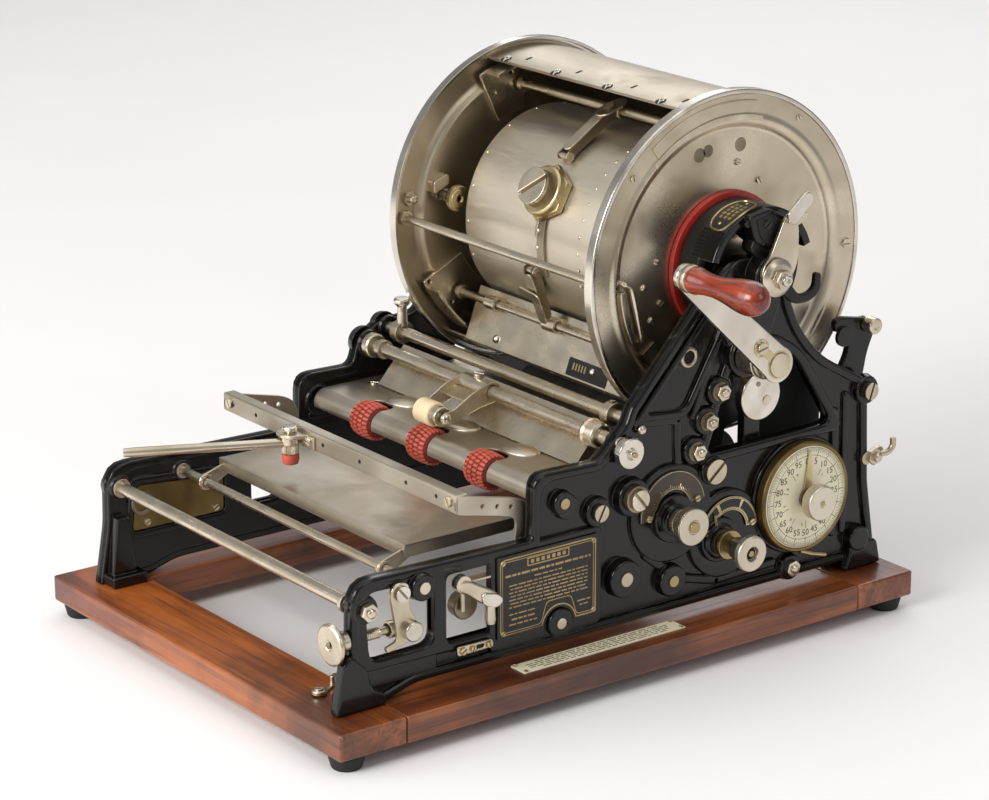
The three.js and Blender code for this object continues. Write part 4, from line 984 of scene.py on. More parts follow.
def drum():
    h, rim = DRUM_HALF, 120.3
    for name, side in (("right", 1), ("left", -1)):
        p = Piece(f"flange_{name}", "drum", "polished_nickel", "drum_metal", "polished", "nickel",
                  "shadow", "dark_nickel")
        p.at = Matrix.Translation(DRUM) @ Matrix.Scale(side, 4, (1, 0, 0))
        p.lathe([(h - 7.7, rim - 1.9), (h - 7.7, rim), (h - 0.6, rim), (h, rim - 0.7), (h, rim - 3.2),
                 (h - 1.0, rim - 3.8), (h - 2, rim - 3.8), (h - 2, rim - 1.9), (h - 7.7, rim - 1.9)], 1,
                160, 0.5)
        p.lathe([(h - 0.8, 116.4), (h - 0.8, 103.4), (h + 0.1, 100.6), (h - 0.3, 98), (h - 2.2, 95.4),
                 (h - 5, 93.2), (h - 5.1, 50), (h - 5, 8.4), (h - 7, 8.4), (h - 7, 94.8), (h - 4.4, 97.2),
                 (h - 2.6, 101.4), (h - 2.4, 116.4), (h - 0.8, 116.4)], 0, 160, 1.6)
        if side > 0:
            p.plate(sector(103.8, 112.6, 78, 128, 40), h - 1, h + 0.25, 0, 0.5)
            p.plate(sector(99, 103, 74, 131, 40), h - 1, h + 0.5, 2, 0.4)
            for angle, r, size in ((81.4, 68.9, 2.4), (60.5, 60.4, 2.4), (-2.1, 109, 3.6), (56.6, 111, 2.2),
                                   (140, 111, 2.4), (-110, 110, 2.6), (200, 60, 2.2), (172, 60, 2.2)):
                p.screw(h - 0.8 if r > 95 else h - 5, *polar(r, angle), size, 1.5, angle * 2, 2)
            for angle, r, size in ((107, 81, 5.0), (101.5, 81, 4.4), (81, 81, 5.0)):
                p.plate(circle(*polar(r, angle), size, 24), h - 5.3, h - 4.9, 4, 0.1)
            # bent wire handle and its latch in the dish
            wire = [(x, *polar(r, a)) for x, r, a in ((h - 5, 92, 180), (h - 1.4, 91, 180.5),
                                                      (h - 1.4, 85, 183), (h - 1.4, 86, 209),
                                                      (h - 5, 86.5, 211))]
            p.tube(wire, 1.9, 2, 14, 5)
            p.plate(rounded(sector(78, 91, 216, 232, 10), 1.0), h - 5.2, h - 2.6, 4, 0.6)
            p.plate(rounded(sector(90, 94.6, 184, 208, 14), 1.2), h - 5.2, h - 0.6, 2, 0.6)
            for angle in (186, 206):
                p.dome(h - 5, *polar(72, angle), 2.6, 1.8, 2)
        else:
            for angle in (20, 75, 150, 255, 310):
                p.screw(h - 0.8, *polar(110, angle), 2.6, 1.5, angle, 2)
            for angle in (40, 130, 220, 320):
                p.dome(h - 5, *polar(60, angle), 3, 1.8, 2)
        p.done(f"drum_flange_{name}")

    s = Piece("drum_sheet", "drum", "satin_nickel", "skin", "shadow", "polished")
    s.move(*DRUM)
    s.plate(sector(113.2, 114.5, -128, 107, 150), -114.2, 114.2, 0, 0.3, 2)
    s.plate(sector(112.2, 113.4, 98, 107, 12), -112, 112, 0, 0.3, 2)
    # a dark disc round each hook, in the shadow look: painted shade in the hook holes
    for x in (-95.3, -37.3, 20.7, 78.7):
        s.at = around(105.4, 114.25, x)
        s.plate(arc(4.0, -80, 260, 24, 0.6, 0), -0.3, 0.42, 1, 0.1, 1)
        s.tube([(0.9, 2.6 * cos(t), 2.6 * sin(t)) for t in (tau * k / 20 for k in range(1, 14))], 0.75, 2, 8)
        s.tube([(0.9, -2.2, -0.6), (1.6, 1.0, 0.2), (0.2, 4.2, 1.6)], 0.7, 2, 8)
    # slots drawn as dark plates in the shadow look: painted shade in the openings
    for x in (-79, -21.3, 40, 95.2):
        s.at = around(101.5, 114.25, x)
        s.plate(link(-1.8, 0, 1.3, 1.8, 0, 1.3), -0.2, 0.32, 1, 0.08, 1)
    for x in (-104, -60, 0, 60, 104):
        s.at = around(-123, 114.3, x)
        s.dome(0, 0, 0, 2.2, 1.0, 2)
    s.done("drum_sheet")

    r = Piece("drum_rods", "drum", "satin_nickel", "nickel")
    for (radius, angle), thick in ((HEAD_ROD, 3.2), (TAIL_ROD, 3), ((109, 179.3), 3)):
        r.at = Matrix.Translation(DRUM) @ Matrix.Translation((0, *polar(radius, angle)))
        inner = 105.1 if radius < 100 else 114.2
        r.rod(-inner, 109 if radius < 100 else 114.2, thick, 0, 28, 0.4)
        r.collar(-inner + 0.5, -inner + 4.5, thick, thick + 2.4, 0, 28, 0.5)
        r.collar(104, 108.8, thick, thick + 2.2, 0, 28, 0.5)
        if radius < 95 and angle < 100:
            r.lathe([(96, thick), (96, thick + 2), (102, thick + 1.2), (102, thick)], 0, 28, 0.4)
    r.done("head_rod", "tail_rod", "drum_tie_rod")

    b = Piece("rod_brackets", "drum", "satin_nickel", "nickel")
    b.move(*DRUM)
    x = FAR_DISH
    b.plate([rounded(sector(69, 108, 94, 115, 14), 4), circle(polar(*HEAD_ROD)[0] - 8, 97, 1.6, 16),
             circle(-33, 84, 1.6, 16)], x, x + 2.4, 0, 0.5)
    b.plate(sector(106, 108.2, 88, 112, 16), x, x + 17, 0, 0.6)
    b.plate([rounded(sector(70, 108, 206, 230, 14), 4), circle(-92, -48, 1.8, 16), circle(-72, -66, 1.8, 16)],
            x, x + 2.4, 0, 0.5)
    b.plate(sector(106, 108.2, 209, 232, 16), x, x + 17, 0, 0.6)
    b.done("head_bracket", "tail_bracket")

    c = Piece("ink_cylinder", "drum", "satin_nickel", "pale_nickel", "nickel", "brass", "shadow",
              "dark_nickel")
    c.move(*DRUM)
    c.lathe([(-86.8, 8.4), (-86.8, 73.4), (-85, 75.5), (104.6, 75.5), (106, 74), (106, 8.4), (103.4, 8.4),
             (103.4, 72.6), (-84, 72.6), (-84, 8.4), (-86.8, 8.4)], 0, 144, 0.6)
    c.sheet(lambda u, v: (43 + 12.0 * (2 * u - 1) ** 6 * (1 - v) + (104 - 43) * v,
                          *polar(75.9, 104 + 88 * u)),
            60, 8, 0.8, 0)
    for a in range(106, 200, 9):
        c.at = around(a, 76.2, 46 + (8 if a < 112 else 0))
        c.dome(0, 0, 0, 1.3, 0.7, 1)
    for a in range(60, 220, 20):
        c.at = around(a, 75.4, -82)
        c.dome(0, 0, 0, 1.4, 0.8, 1)
    # strap below the filler and the two lever arms
    c.move(*DRUM)
    c.plate(sector(75.3, 77.6, 160, 197, 24), 1, 9, 4, 0.5)
    c.plate(sector(75.3, 78.4, 166, 176, 12), -0.5, 2.4, 1, 0.4)
    for a in (163, 172, 181, 190):
        c.at = around(a, 77.5, 2.4)
        c.dome(0, 0, 0, 1.8, 1.2, 1)
    c.move()

    def spot(angle, r, x):
        return around(angle, r, x).translation
    for shift in (-4.2, 4.2):
        c.strap(spot(101, 90, 6 + shift), spot(131, 80, 1 + shift), spot(116, 200, 0) - spot(116, 0, 0), 8,
                1.3, 5, 6)
        c.strap(spot(194, 80, -4 + shift), spot(216, 87, 1 + shift), spot(205, 200, 0) - spot(205, 0, 0),
                8, 1.3, 5, 6)
    c.strap(spot(101, 93, 6), spot(126, 84, 2), (1, 0, 0), 9.4, 1.3, 1)
    c.strap(spot(97, 93.5, 8), spot(103, 91.5, 6), (1, 0, 0), 15, 1.3, 1)
    c.strap(spot(198, 84, -4), spot(217, 90, 1), (1, 0, 0), 9.4, 1.3, 1)
    c.strap(spot(205, 86.5, -14), spot(206, 87.5, 3), (0, 0.5, -1), 8, 1.3, 1)
    for angle, r, x in ((131, 80, 1), (194, 80, -4)):
        c.at = Matrix.Translation(spot(angle, r, x))
        c.rod(-6.6, 6.6, 2.3, 1, 20, 0.5)
        c.disc(5, 0, 0, 3.6, 1.4, 1, 0.4)
    for (r, angle), x in ((HEAD_ROD, 8), (TAIL_ROD, 2)):
        c.at = Matrix.Translation(spot(angle, r, x))
        c.collar(-4, 4, 3.5, 5.6, 1, 28, 0.5, True)
    c.done("ink_cylinder")

    a = Piece("axle", "drum", "satin_nickel", "nickel", "polished", "brass")
    a.move(*AXLE)
    a.lathe([(-158, 0), (-158, 5), (-156.5, 8), (168, 8), (168, 0)], 0, 48, 0.3)
    a.lathe([(168, 0), (168, 12.6), (168.8, 13.4), (170.2, 13.4), (171, 12.4), (172.6, 10.2), (173, 6.6),
             (173, 0)], 0, 64, 0.3)
    a.plate(circle(0, 0, 6.9, 6), 172.6, 177.6, 0, 0.8)
    a.lathe([(177, 0), (177, 4.2), (180.4, 4.0), (181, 3.2), (181, 0)], 1, 28, 0.3)
    a.lathe([(180.8, 0), (180.8, 1.7), (181.3, 1.5), (181.3, 0)], 2, 20, 0.1)
    a.done("drum_axle")

    red = Piece("index_ring", "drum", "red_ring", "red_paint")
    red.move(*DRUM)
    red.lathe([(h - 4.7, 43.4), (h - 4.7, 49.8), (h - 1.4, 49.6), (h - 1.0, 49.0), (h - 1.0, 43.4),
               (h - 4.7, 43.4)], 0, 120, 0.4)
    red.done("index_ring")


def drum_fittings():
    plug = Piece("filler", "filler_plug", "brass", "pale_brass", "nickel", "dark_nickel")
    plug.at = around(152, 75.8, 0, (7, *DRUM[1:]))
    plug.plate(circle(0, 0, 20.8, 6), 0, 5.4, 0, 0.9)
    plug.lathe([(5.2, 0), (5.2, 18.6), (9.2, 18.2), (10.4, 16.8), (10.4, 0)], 0, 72, 0.6)
    plug.rod(10, 16.4, 13.6, 2, 72, 0.4)
    plug.at = plug.at @ Matrix.Rotation(radians(130), 4, "X")
    for start in (0, 180):
        plug.plate(arc(13.6, start + 6, start + 174, 36), 16.3, 19.6, 1, 0.6)
    plug.done("filler_plug")

    t = Piece("tail_clamp", "tail_clamp", "satin_nickel", "nickel", "polished", "shadow", "brass")
    t.at = Matrix.Translation((DRUM[0], *polar(*TAIL_ROD, *DRUM[1:]))) \
        @ Matrix.Rotation(radians(-110.5), 4, "X")
    t.plate(rounded([(-9, 4.5), (31, 4.5), (31, 5.8), (-9, 5.8)]), -90, 100, 0, 0.4, 2)
    for x in (-70, 0, 70):
        t.collar(x, x + 12, 3.4, 5.3, 0, 32, 0.4, True)
        t.block(x, -3, 3.4, x + 12, 3, 5, 0, 0.4)
    t.at = t.at @ Matrix(((0, -1, 0, 0), (0, 0, 1, 0), (-1, 0, 0, 0), (0, 0, 0, 1)))
    t.dome(-4.6, 55.4, 24, 3.3, 2.4, 1)
    # dark plate in the shadow look under five brass bars: painted shade behind the bars
    t.plate(rect(-72, 17, -28, 29.8, 1), -4.6, -3.9, 2, 0.15)
    for k in range(5):
        t.plate(rect(-48 + 3.2 * k, 20, -46.6 + 3.2 * k, 25, 0.2), -4.0, -3.7, 3, 0.05, 1)
    t.dome(-4.0, -55, 22, 2.8, 1.8, 1)
    t.done("tail_clamp")

    n = Piece("thumb_nut", "thumb_nut", "brass", "pale_brass", "nickel")
    n.at = Matrix.Translation((DRUM[0], DRUM[1] - 75, DRUM[2] + 14))
    x = FAR_DISH
    n.lathe([(x, 0), (x, 5), (x + 4, 5), (x + 4.4, 3.2), (x + 12, 3.2), (x + 12, 0)], 1, 32, 0.3)
    n.plate(knurl(9.6, 8.9, 40), x + 11.8, x + 16.4, 0, 0.6, 2)
    n.lathe([(x + 16, 0), (x + 16, 7.4), (x + 17, 6.6), (x + 17, 3), (x + 16.4, 2), (x + 16.4, 0)], 0, 40, 0.3)
    n.done("drum_thumb_nut")

    s = Piece("stencil_hook", "drum", "satin_nickel", "nickel", "brass", "dark_nickel")
    s.nut(-112.5, 16.7, 278.7, 6, 4, 0, 4, 10)
    s.plate(rounded([(10, 266, 3), (42, 282, 3), (48, 296, 4), (40, 300, 4), (14, 286, 4)]), -112.8,
            -111.4, 0, 0.4)
    s.plate(rounded([(30, 282, 2), (44, 288, 3), (43, 296, 3), (30, 291, 2)]), -111.5, -98, 0, 0.6)
    coil = [(-108 + 8 * k / 60, 37.3 + 4 * cos(k * 0.6), 280.2 + 4 * sin(k * 0.6)) for k in range(61)]
    s.tube(coil, 0.6, 2, 6)
    s.done()


# ---- fixed hub housing and release lever ----
def hub():
    p = Piece("hub_housing", "machine_frame", "black_enamel", "satin_black", "enamel", "brass", "plate_black")
    p.move(*AXLE)
    p.plate(sector(39, 46, -56, 216, 80), 119.8, 139.4, 0, 1.0)
    p.plate(sector(40, 46, 18, 162, 48), 130, 154, 1, 1.4)
    p.plate(sector(36.5, 41, 24, 156, 44), 132, 150, 0, 0.8)
    p.plate(rounded([(-18, 43, 3), (0, 46.4, 4), (25, 33, 3), (16, 24, 3), (1, 16, 4), (-12, 25, 3)]), 140,
            160.4, 1, 1.6, 4)
    p.plate(rounded([(-12, 40, 2), (1, 42, 2), (19, 32, 2), (13, 26, 3), (0, 20, 3), (-8, 27, 2)]), 160,
            161.6, 0, 0.8)
    p.plate(rounded([(-11, 26, 3), (2, 19, 3), (6, 12, 3), (-4, 10, 3), (-14, 18, 3)]), 146, 158, 0, 1.6)
    p.screw(161.2, -3, 36, 3.2, 1.4, 40, 1)
    p.plate(rounded([(-20, 38, 2), (-8, 44, 2), (-6, 40, 2), (-18, 34, 2)]), 154, 158, 1, 0.8)
    # curved tag with its raised edge and a row of plain dots
    p.sheet(lambda u, v: (132.5 + 21 * v, *polar(46.5, 91 + 44 * u)), 30, 4, 1.0, 3)
    loop = []
    for t in range(48):
        a = tau * t / 48
        across = 143 + 10 * copysign(abs(cos(a)) ** 0.6, cos(a))
        angle = 113 + 21.6 * copysign(abs(sin(a)) ** 0.9, sin(a))
        loop.append((across, *polar(47.1, angle)))
    p.tube(loop + loop[:2], 0.7, 2, 6)
    for k, angle in enumerate((103, 107.5, 112, 116.5, 121)):
        for across in (138.2, 142.6, 147):
            p.at = around(angle, 46.9, across, AXLE)
            p.plate(rect(-1.3, -0.9 - 0.6 * ((k + int(across)) % 2), 1.3, 1.3, 0.3), -0.1, 0.35, 2, 0.08, 1)
    for angle in (96, 128):
        p.at = around(angle, 46.9, 142.5, AXLE)
        p.dome(0, 0, 0, 1.3, 0.7, 2)
    # black hook that stands out below the axle
    p.move()
    hook = rounded([(118, 262, 5), (138, 246, 6), (146, 238.5, 5), (160, 238, 8), (170, 244, 5),
                    (170.5, 257, 2.4), (165, 258, 2.4), (164, 248, 5), (158, 244.5, 5), (150, 245, 4),
                    (134, 264, 4)])
    p.plate(hook, 155.5, 160, 0, 1.2)
    # dark disc that closes the hub behind the axle
    p.move(*AXLE)
    p.plate([circle(0, 0, 40, 64), circle(0, 0, 14, 32)], 120.4, 123, 0, 0.4)
    p.done("hub_housing", angle=38)

    v = Piece("release_lever", "release_lever", "satin_nickel", "nickel", "polished")
    v.move(*AXLE)
    blade = rounded([(-12, -3, 8), (-11, 8, 8), (-4, 15, 6), (8, 40, 4), (18, 43, 3), (20.5, 30, 6),
                     (20.5, 6, 12), (11, -8, 8), (-4, -12, 8)])
    v.plate([blade, circle(0, 0, 8.3, 40)], 164.3, 167.4, 0, 0.6)
    v.plate(rounded([(8, 36.5, 1.5), (10, 42, 2), (25, 43, 1.5), (24.4, 38, 1.5), (17, 34, 2)]), 164.6,
            171, 0, 0.8)
    v.plate(link(13, 41.5, 5.4, 24, 51, 5.2), 168.8, 171.2, 1, 0.7)
    v.done("release_lever")


# ---- crank and grip ----
def crank():
    s = Piece("crank_shaft", "crank", "satin_nickel", "nickel", "polished", "dark_nickel")
    s.move(*CRANK)
    s.rod(122.5, 156.5, 7, 0, 40, 0.3)
    s.lathe([(156.5, 6), (156.5, 12.4), (158, 13), (176, 13), (178, 11.6), (183.1, 11.2), (183.1, 8)], 0,
            64, 0.7)
    s.lathe([(170, 12.9), (170.4, 13.5), (173.6, 13.5), (174, 12.9)], 1, 64, 0.2)
    teeth = []
    for i in range(20):
        for share, r in ((-0.28, 24.5), (-0.11, 30.2), (0.11, 30.2), (0.28, 24.5)):
            a = tau * (i + share) / 20 + atan2(54.6, 12.7) + pi / 20
            teeth.append((r * cos(a), r * sin(a)))
    s.plate(teeth, 124, 132, 2, 0.3, 1)
    s.rod(183, 189, 8.4, 0, 40, 0.4)
    s.done("crank_shaft")

    c = Piece("crank_arm", "crank", "satin_nickel", "polished", "nickel", "dark_nickel", "brass",
              "pale_brass", "tray")
    c.move(*CRANK, CRANK_ANGLE)
    outline = rounded(arc(12.8, 70, 290, 26) + [(26, -11.4, 14), (60, -10.6, 20)]
                      + arc(9, -88, 88, 20, CRANK_REACH, 0) + [(60, 10.6, 20), (26, 11.4, 14)])
    c.plate([outline, circle(0, 0, 8.7, 36)], 183.4, 187.4, 0, 0.8)
    c.plate([circle(0, 0, 9.9, 40), circle(0, 0, 8.7, 36)], 187.2, 187.7, 4, 0.15, 1)
    c.rod(184, 187.6, 8.6, 5, 48, 0.3)
    c.plate(link(8.4, 0, 3.0, 20, 0, 3.4), 187.2, 187.9, 4, 0.2)
    c.plate([circle(21.7, 0, 6.4, 32), circle(21.7, 0, 5.2, 32)], 187.2, 188, 4, 0.2)
    c.screw(187.4, 21.7, 0, 4.3, 2.4, 55, 1)
    c.at = c.at @ Matrix.Translation((0, CRANK_REACH, 0))
    c.lathe([(181.4, 0), (181.4, 5.4), (183.4, 6), (183.4, 0)], 1, 36, 0.5)
    c.rod(187, 252, 3.4, 1, 28, 0.4)
    c.done("crank_arm")


def grip():
    g = Piece("crank_grip", "grip", "varnished_wood", "grip_wood", "nickel", "dark_nickel")
    g.move(0, *polar(CRANK_REACH, CRANK_ANGLE, *CRANK[1:]))
    x = 187.7
    g.lathe([(x, 3.9), (x, 8.4), (x + 0.8, 9.4), (x + 5.4, 9.4), (x + 6.2, 8.8), (x + 6.2, 3.9), (x, 3.9)],
            1, 64, 0.4)
    g.lathe([(x + 1.9, 9.3), (x + 2.3, 9.75), (x + 3.1, 9.75), (x + 3.5, 9.3)], 2, 64, 0.1)
    shape = [(6.0, 3.9), (6.0, 8.0), (7.4, 9.1), (10.5, 9.3), (15, 8.3), (24, 7.5), (33, 7.8), (42, 9.0),
             (50, 10.4), (57, 11.4), (63, 11.6), (68, 10.6), (72, 8.5), (74.6, 5.8), (75.8, 3.0), (76, 0)]
    fine = []
    for i in range(len(shape) - 1):
        p0, p1, p2, p3 = shape[max(i - 1, 0)], shape[i], shape[i + 1], shape[min(i + 2, len(shape) - 1)]
        for k in range(5):
            t = k / 5
            fine.append(tuple(0.5 * (2 * b + (c - a) * t + (2 * a - 5 * b + 4 * c - d) * t * t
                                     + (3 * b - a - 3 * c + d) * t ** 3)
                              for a, b, c, d in zip(p0, p1, p2, p3)))
    fine.append(shape[-1])
    g.lathe([(x + u, max(r, 0.0)) for u, r in fine], 0, 72)
    g.done("crank_grip", angle=50)


# ---- feed shaft, tyres, guide bracket and roller ----
def feed():
    s = Piece("feed_shaft", "feed_roll", "satin_nickel", "nickel", "polished")
    s.move(*FEED)
    s.rod(-151, 151, 5, 0, 40, 0.8)
    for x in TYRES:
        for side in (-1, 1):
            a, b = sorted((x + side * 11.2, x + side * 16.5))
            s.collar(a, b, 5, 7.4, 1, 40, 0.7)
    s.collar(118, 124, 5, 8.6, 0, 40, 0.8)
    s.done("feed_shaft")
    for name, x in zip(("left", "middle", "right"), TYRES):
        t = Piece(f"tyre_{name}", "feed_roll", "red_rubber", "red_rubber", "dark_nickel", "groove_shade_red")
        t.move(x, *FEED[1:])
        w, ribs = 11.0, 24
        # the core between the ribs wears the darker red: painted shade in the grooves
        t.lathe([(-w, 5.3), (-w, 9.6), (-w + 1.6, 11.2), (-w + 4, 11.9), (w - 4, 11.9), (w - 1.6, 11.2),
                 (w, 9.6), (w, 5.3), (-w, 5.3)], 2, 72, 0.8)
        for i in range(ribs):
            for u, r, slope in ((-8.2, 12.0, 14), (-2.8, 12.5, 3), (2.8, 12.5, -3), (8.2, 12.0, -14)):
                t.at = Matrix.Translation((x, *FEED[1:])) \
                    @ Matrix.Rotation(tau * i / ribs + u * 0.012, 4, "X") @ Matrix.Translation((u, r, 0)) \
                    @ Matrix.Rotation(radians(slope), 4, "Z") @ ALONG_Y
                t.plate(rect(-1.15, -2.35, 1.15, 2.35, 0.6), -1.2, 0.85, 0, 0.55, 2)
        t.move(x, *FEED[1:])
        t.collar(-w - 0.1, w + 0.1, 5.3, 7.8, 1, 40, 0.2)
        t.done(f"feed_tyre_{name}")


def guide():
    g = Piece("guide_bracket", "guide_arm", "satin_nickel", "nickel", "polished")
    g.move(0, *FRONT_SHAFT)
    y, z = -39.6, -11.7
    g.collar(-23, 9, 5.3, 7.5, 0, 44, 0.5, True)
    for x in (-24.0, 7.4):
        cheek = rounded(arc(7.5, -70, 105, 16) + [(-16, 3.4, 6), (-34, -6.6, 5)] + arc(4.5, 95, 265, 14, y, z)
                        + [(-28, -14.6, 8), (-12, -9.2, 6)])
        g.plate([cheek, circle(0, 0, 5.3, 28)], x, x + 1.7, 0, 0.5)
    g.plate(rounded([(-20, -3.4, 0.6), (-8, 0.0, 0.6), (-8.4, -1.7, 0.6), (-20.4, -5.2, 0.6)]), -23, 9, 0, 0.4)
    g.move(0, *FRONT_SHAFT)
    g.at = g.at @ Matrix.Translation((0, y, z))
    g.rod(-25.6, 10.6, 2.4, 1, 24, 0.5)
    g.dome(9.1, 0, 0, 3.8, 1.8, 1)
    g.move(-7, FRONT_SHAFT[0], FRONT_SHAFT[1] + 7.2, lay=ALONG_Z)
    g.screw(0, 0, 0, 4.0, 3.2, 25, 1)
    g.done("guide_bracket")
    r = Piece("guide_roller", "guide_roller", "ivory", "ivory", "nickel")
    r.move(0, -38, 153.6)
    r.lathe([(-20.5, 2.8), (-20.5, 7.9), (-19.4, 9.0), (-4.2, 9.0), (-3.0, 7.9), (-3, 2.8), (-20.5, 2.8)],
            0, 64, 0.4)
    r.lathe([(-3.1, 2.8), (-3.1, 7.2), (3.4, 7.2), (4, 6.6), (4, 2.8), (-3.1, 2.8)], 1, 48, 0.4)
    r.done("guide_roller")


# ---- impression roller, yoke and cam ----
def impression():
    r = Piece("impression_roller", "impression_roller", "grey_rubber", "grey_rubber", "dark_nickel")
    r.move(0, *ROLLER)
    r.lathe([(-98.6, 9), (-98.6, 23.2), (-97.4, 24), (103.4, 24), (104.6, 23.2), (104.6, 9), (-98.6, 9)],
            0, 96, 0.5)
    r.collar(-99, 105, 4.3, 9.5, 1, 40, 0.4, True)
    r.done("impression_roller")
    y = Piece("yoke", "yoke", "black_enamel", "enamel", "nickel")
    for x in (-105.5, 105.5):
        y.plate([rounded(link(*YOKE_ROD, 10, *ROLLER, 8)), circle(*YOKE_ROD, 5.3, 28)], x, x + 6, 0, 1.2)
    y.block(-104, 72, 103, 110, 80, 113, 0, 1.4)
    y.move(0, *ROLLER)
    y.rod(-108, 112, 4, 1, 28, 0.6)
    y.done("impression_yoke")
    c = Piece("cam_disc", "pressure_cam", "satin_nickel", "polished", "nickel", "dark_nickel")
    c.move(0, *CAM)
    c.lathe([(142.6, 0), (142.6, 17.5), (150.2, 17.5), (150.9, 16.6), (150.9, 0)], 0, 96, 0.6)
    c.rod(135, 144, 3, 1, 24, 0.3)
    c.disc(150.9, 5, -4, 3.6, 0.7, 1, 0.3)
    c.disc(150.9, -3, 9, 1.8, 0.5, 2, 0.2)
    c.done("pressure_cam")


# ---- paper tray, bail and hold-down lever ----
def paper():
    t = Piece("paper_tray", "paper_tray", "steel_sheet", "tray", "nickel")
    x0, x1, y0, y1, top = -113, 113, -148, -58, 115.5
    t.at = ALONG_Z
    t.plate(rounded([(x0, y0), (x1, y0), (x1, y1, 3), (x0, y1, 3)]), top - 1.3, top, 0, 0.35, 2)
    t.move()
    fold = rounded([(y0 - 0.02, top - 9, 0.5), (y0 + 1.3, top - 9, 0.5), (y0 + 1.3, top - 1.2, 0.5),
                    (y0 + 4, top - 1.2, 0.3), (y0 + 4, top + 0.05, 0.3), (y0 - 0.02, top + 0.05, 1.4)])
    t.plate(fold, x0 + 0.02, x1 - 0.02, 0, 0.3, 2)
    for x in (x0, x1 - 1.3):
        t.plate(rounded([(y0, top - 9, 0.5), (y1, top - 9, 3), (y1, top, 1.2), (y0, top, 1.2)]), x,
                x + 1.3, 0, 0.4, 2)
    for x in (-110, 108):
        t.plate([rounded(link(*TRAY_ROD, 6, -142, 109.5, 4)), circle(*TRAY_ROD, 3.5, 24)], x, x + 2, 1, 0.5)
        t.block(x, -145, 107.5, x + 2, -118, 114.8, 1, 0.4)
        t.move(x + 1, *TRAY_ROD)
        t.collar(-2.2, 2.2, 3.5, 5.6, 1, 36, 0.5, True)
        t.move()
    t.done("paper_tray")

    b = Piece("bail", "paper_bail", "satin_nickel", "tray", "nickel", "polished", "brass", "shadow")
    reach, y, z0, z1 = 140, -126, 139.7, 152.6
    strip = rounded([(y, z0, 0.5), (y + 1.5, z0, 0.5), (y + 1.5, z1 - 1.6, 0.6), (y + 9, z1 - 1.6, 0.5),
                     (y + 9, z1, 0.5), (y, z1, 1.4)])
    b.plate(strip, -reach, reach, 0, 0.35, 2)
    outline = rounded([(-126, 139.7, 3), (-126, 152.6, 5), (-77, 141, 6), (-68, 136, 6), (-64, 128, 6),
                       (-64, 102, 8), (-79, 99, 6), (-76.6, 127, 6), (-93.5, 131.7, 3), (-122.7, 138, 2)])
    for side in (-1, 1):
        holes = [circle(-104.5, 140.5, 1.5, 16), circle(-92.4, 138.0, 1.5, 16), circle(-81, 135.4, 1.5, 16)]
        a, c = sorted((side * reach, side * (reach - 2)))
        b.plate([outline, *holes], a, c, 0, 0.5)
        b.move(0, *BAIL_PIVOT)
        a, c = (139, 150) if side > 0 else (-150, -139)
        b.rod(a, c, 4, 1, 24, 0.4)
        b.move()
        b.disc(reach - 2.4 if side > 0 else -reach - 0.6, *BAIL_PIVOT, 7, 2.6, 1, 0.5)
        b.move(side * (reach - 8), y + 0.1, 146.4, 180, "Z", ALONG_Y)
        b.screw(0, 0, 0, 3.6, 1.8, 30, 1)
        b.move()
    # small discs in the shadow look along the strip: painted shade in its holes
    for x in (-128, -98, -56, -14, 30, 84, 118):
        b.move(x, y + 0.1, 146.2, 180, "Z", ALONG_Y)
        b.disc(0, 0, 0, 1.5, 0.25, 4, 0.1, sides=16)
    b.move()
    b.at = ALONG_Z
    b.plate([rounded([(-52, -141, 5), (-36, -141, 5), (-30, -127, 2), (-30, -124.5, 1), (-54, -124.5, 1),
                      (-54, -130, 3)]), circle(*HOLD_PIN, 3.3, 28)], 146.6, 149.4, 1, 0.6)
    b.move()
    b.plate(rounded([(-127.8, 139.9, 1), (-126, 139.9, 1), (-126, 149.3, 1), (-127.8, 149.3, 1)]), -38,
            -23, 1, 0.5)
    b.move(-29, -127.7, 145, 180, "Z", ALONG_Y)
    b.screw(0, 0, 0, 3.2, 1.8, 70, 2)
    b.done("paper_bail")

    h = Piece("hold_lever", "hold_lever", "satin_nickel", "nickel", "polished")
    path = [(*HOLD_PIN, 141.6), (-50, -143.7, 141.4), (-96, -225.8, 139.6), (-100, -233, 139.4)]
    h.tube(path, [3.4, 3.4, 3.4, 3.0], 0, 24)
    h.move(*HOLD_PIN, lay=ALONG_Z)
    h.plate(knurl(6.0, 5.5, 28), 134.2, 140.5, 0, 0.6, 2)
    h.lathe([(140, 0), (140, 5.6), (141, 6), (145.6, 6), (146.2, 5.4), (146.2, 0)], 0, 40, 0.3)
    h.rod(146, 151, 3, 0, 28, 0.2)
    h.lathe([(150.6, 0), (150.6, 4.6), (151.4, 5.2), (153.2, 5.2), (154, 4.4), (154, 0)], 1, 36, 0.3)
    h.done("hold_lever")
    tip = Piece("hold_tip", "hold_lever", "red_rubber", "red_rubber")
    tip.move(*HOLD_PIN, lay=ALONG_Z)
    tip.lathe([(126.5, 0), (126.5, 4.8), (127.2, 5.6), (130.2, 6.1), (133.9, 6.1), (133.9, 0)], 0, 40, 0.5)
    tip.done("hold_tip")


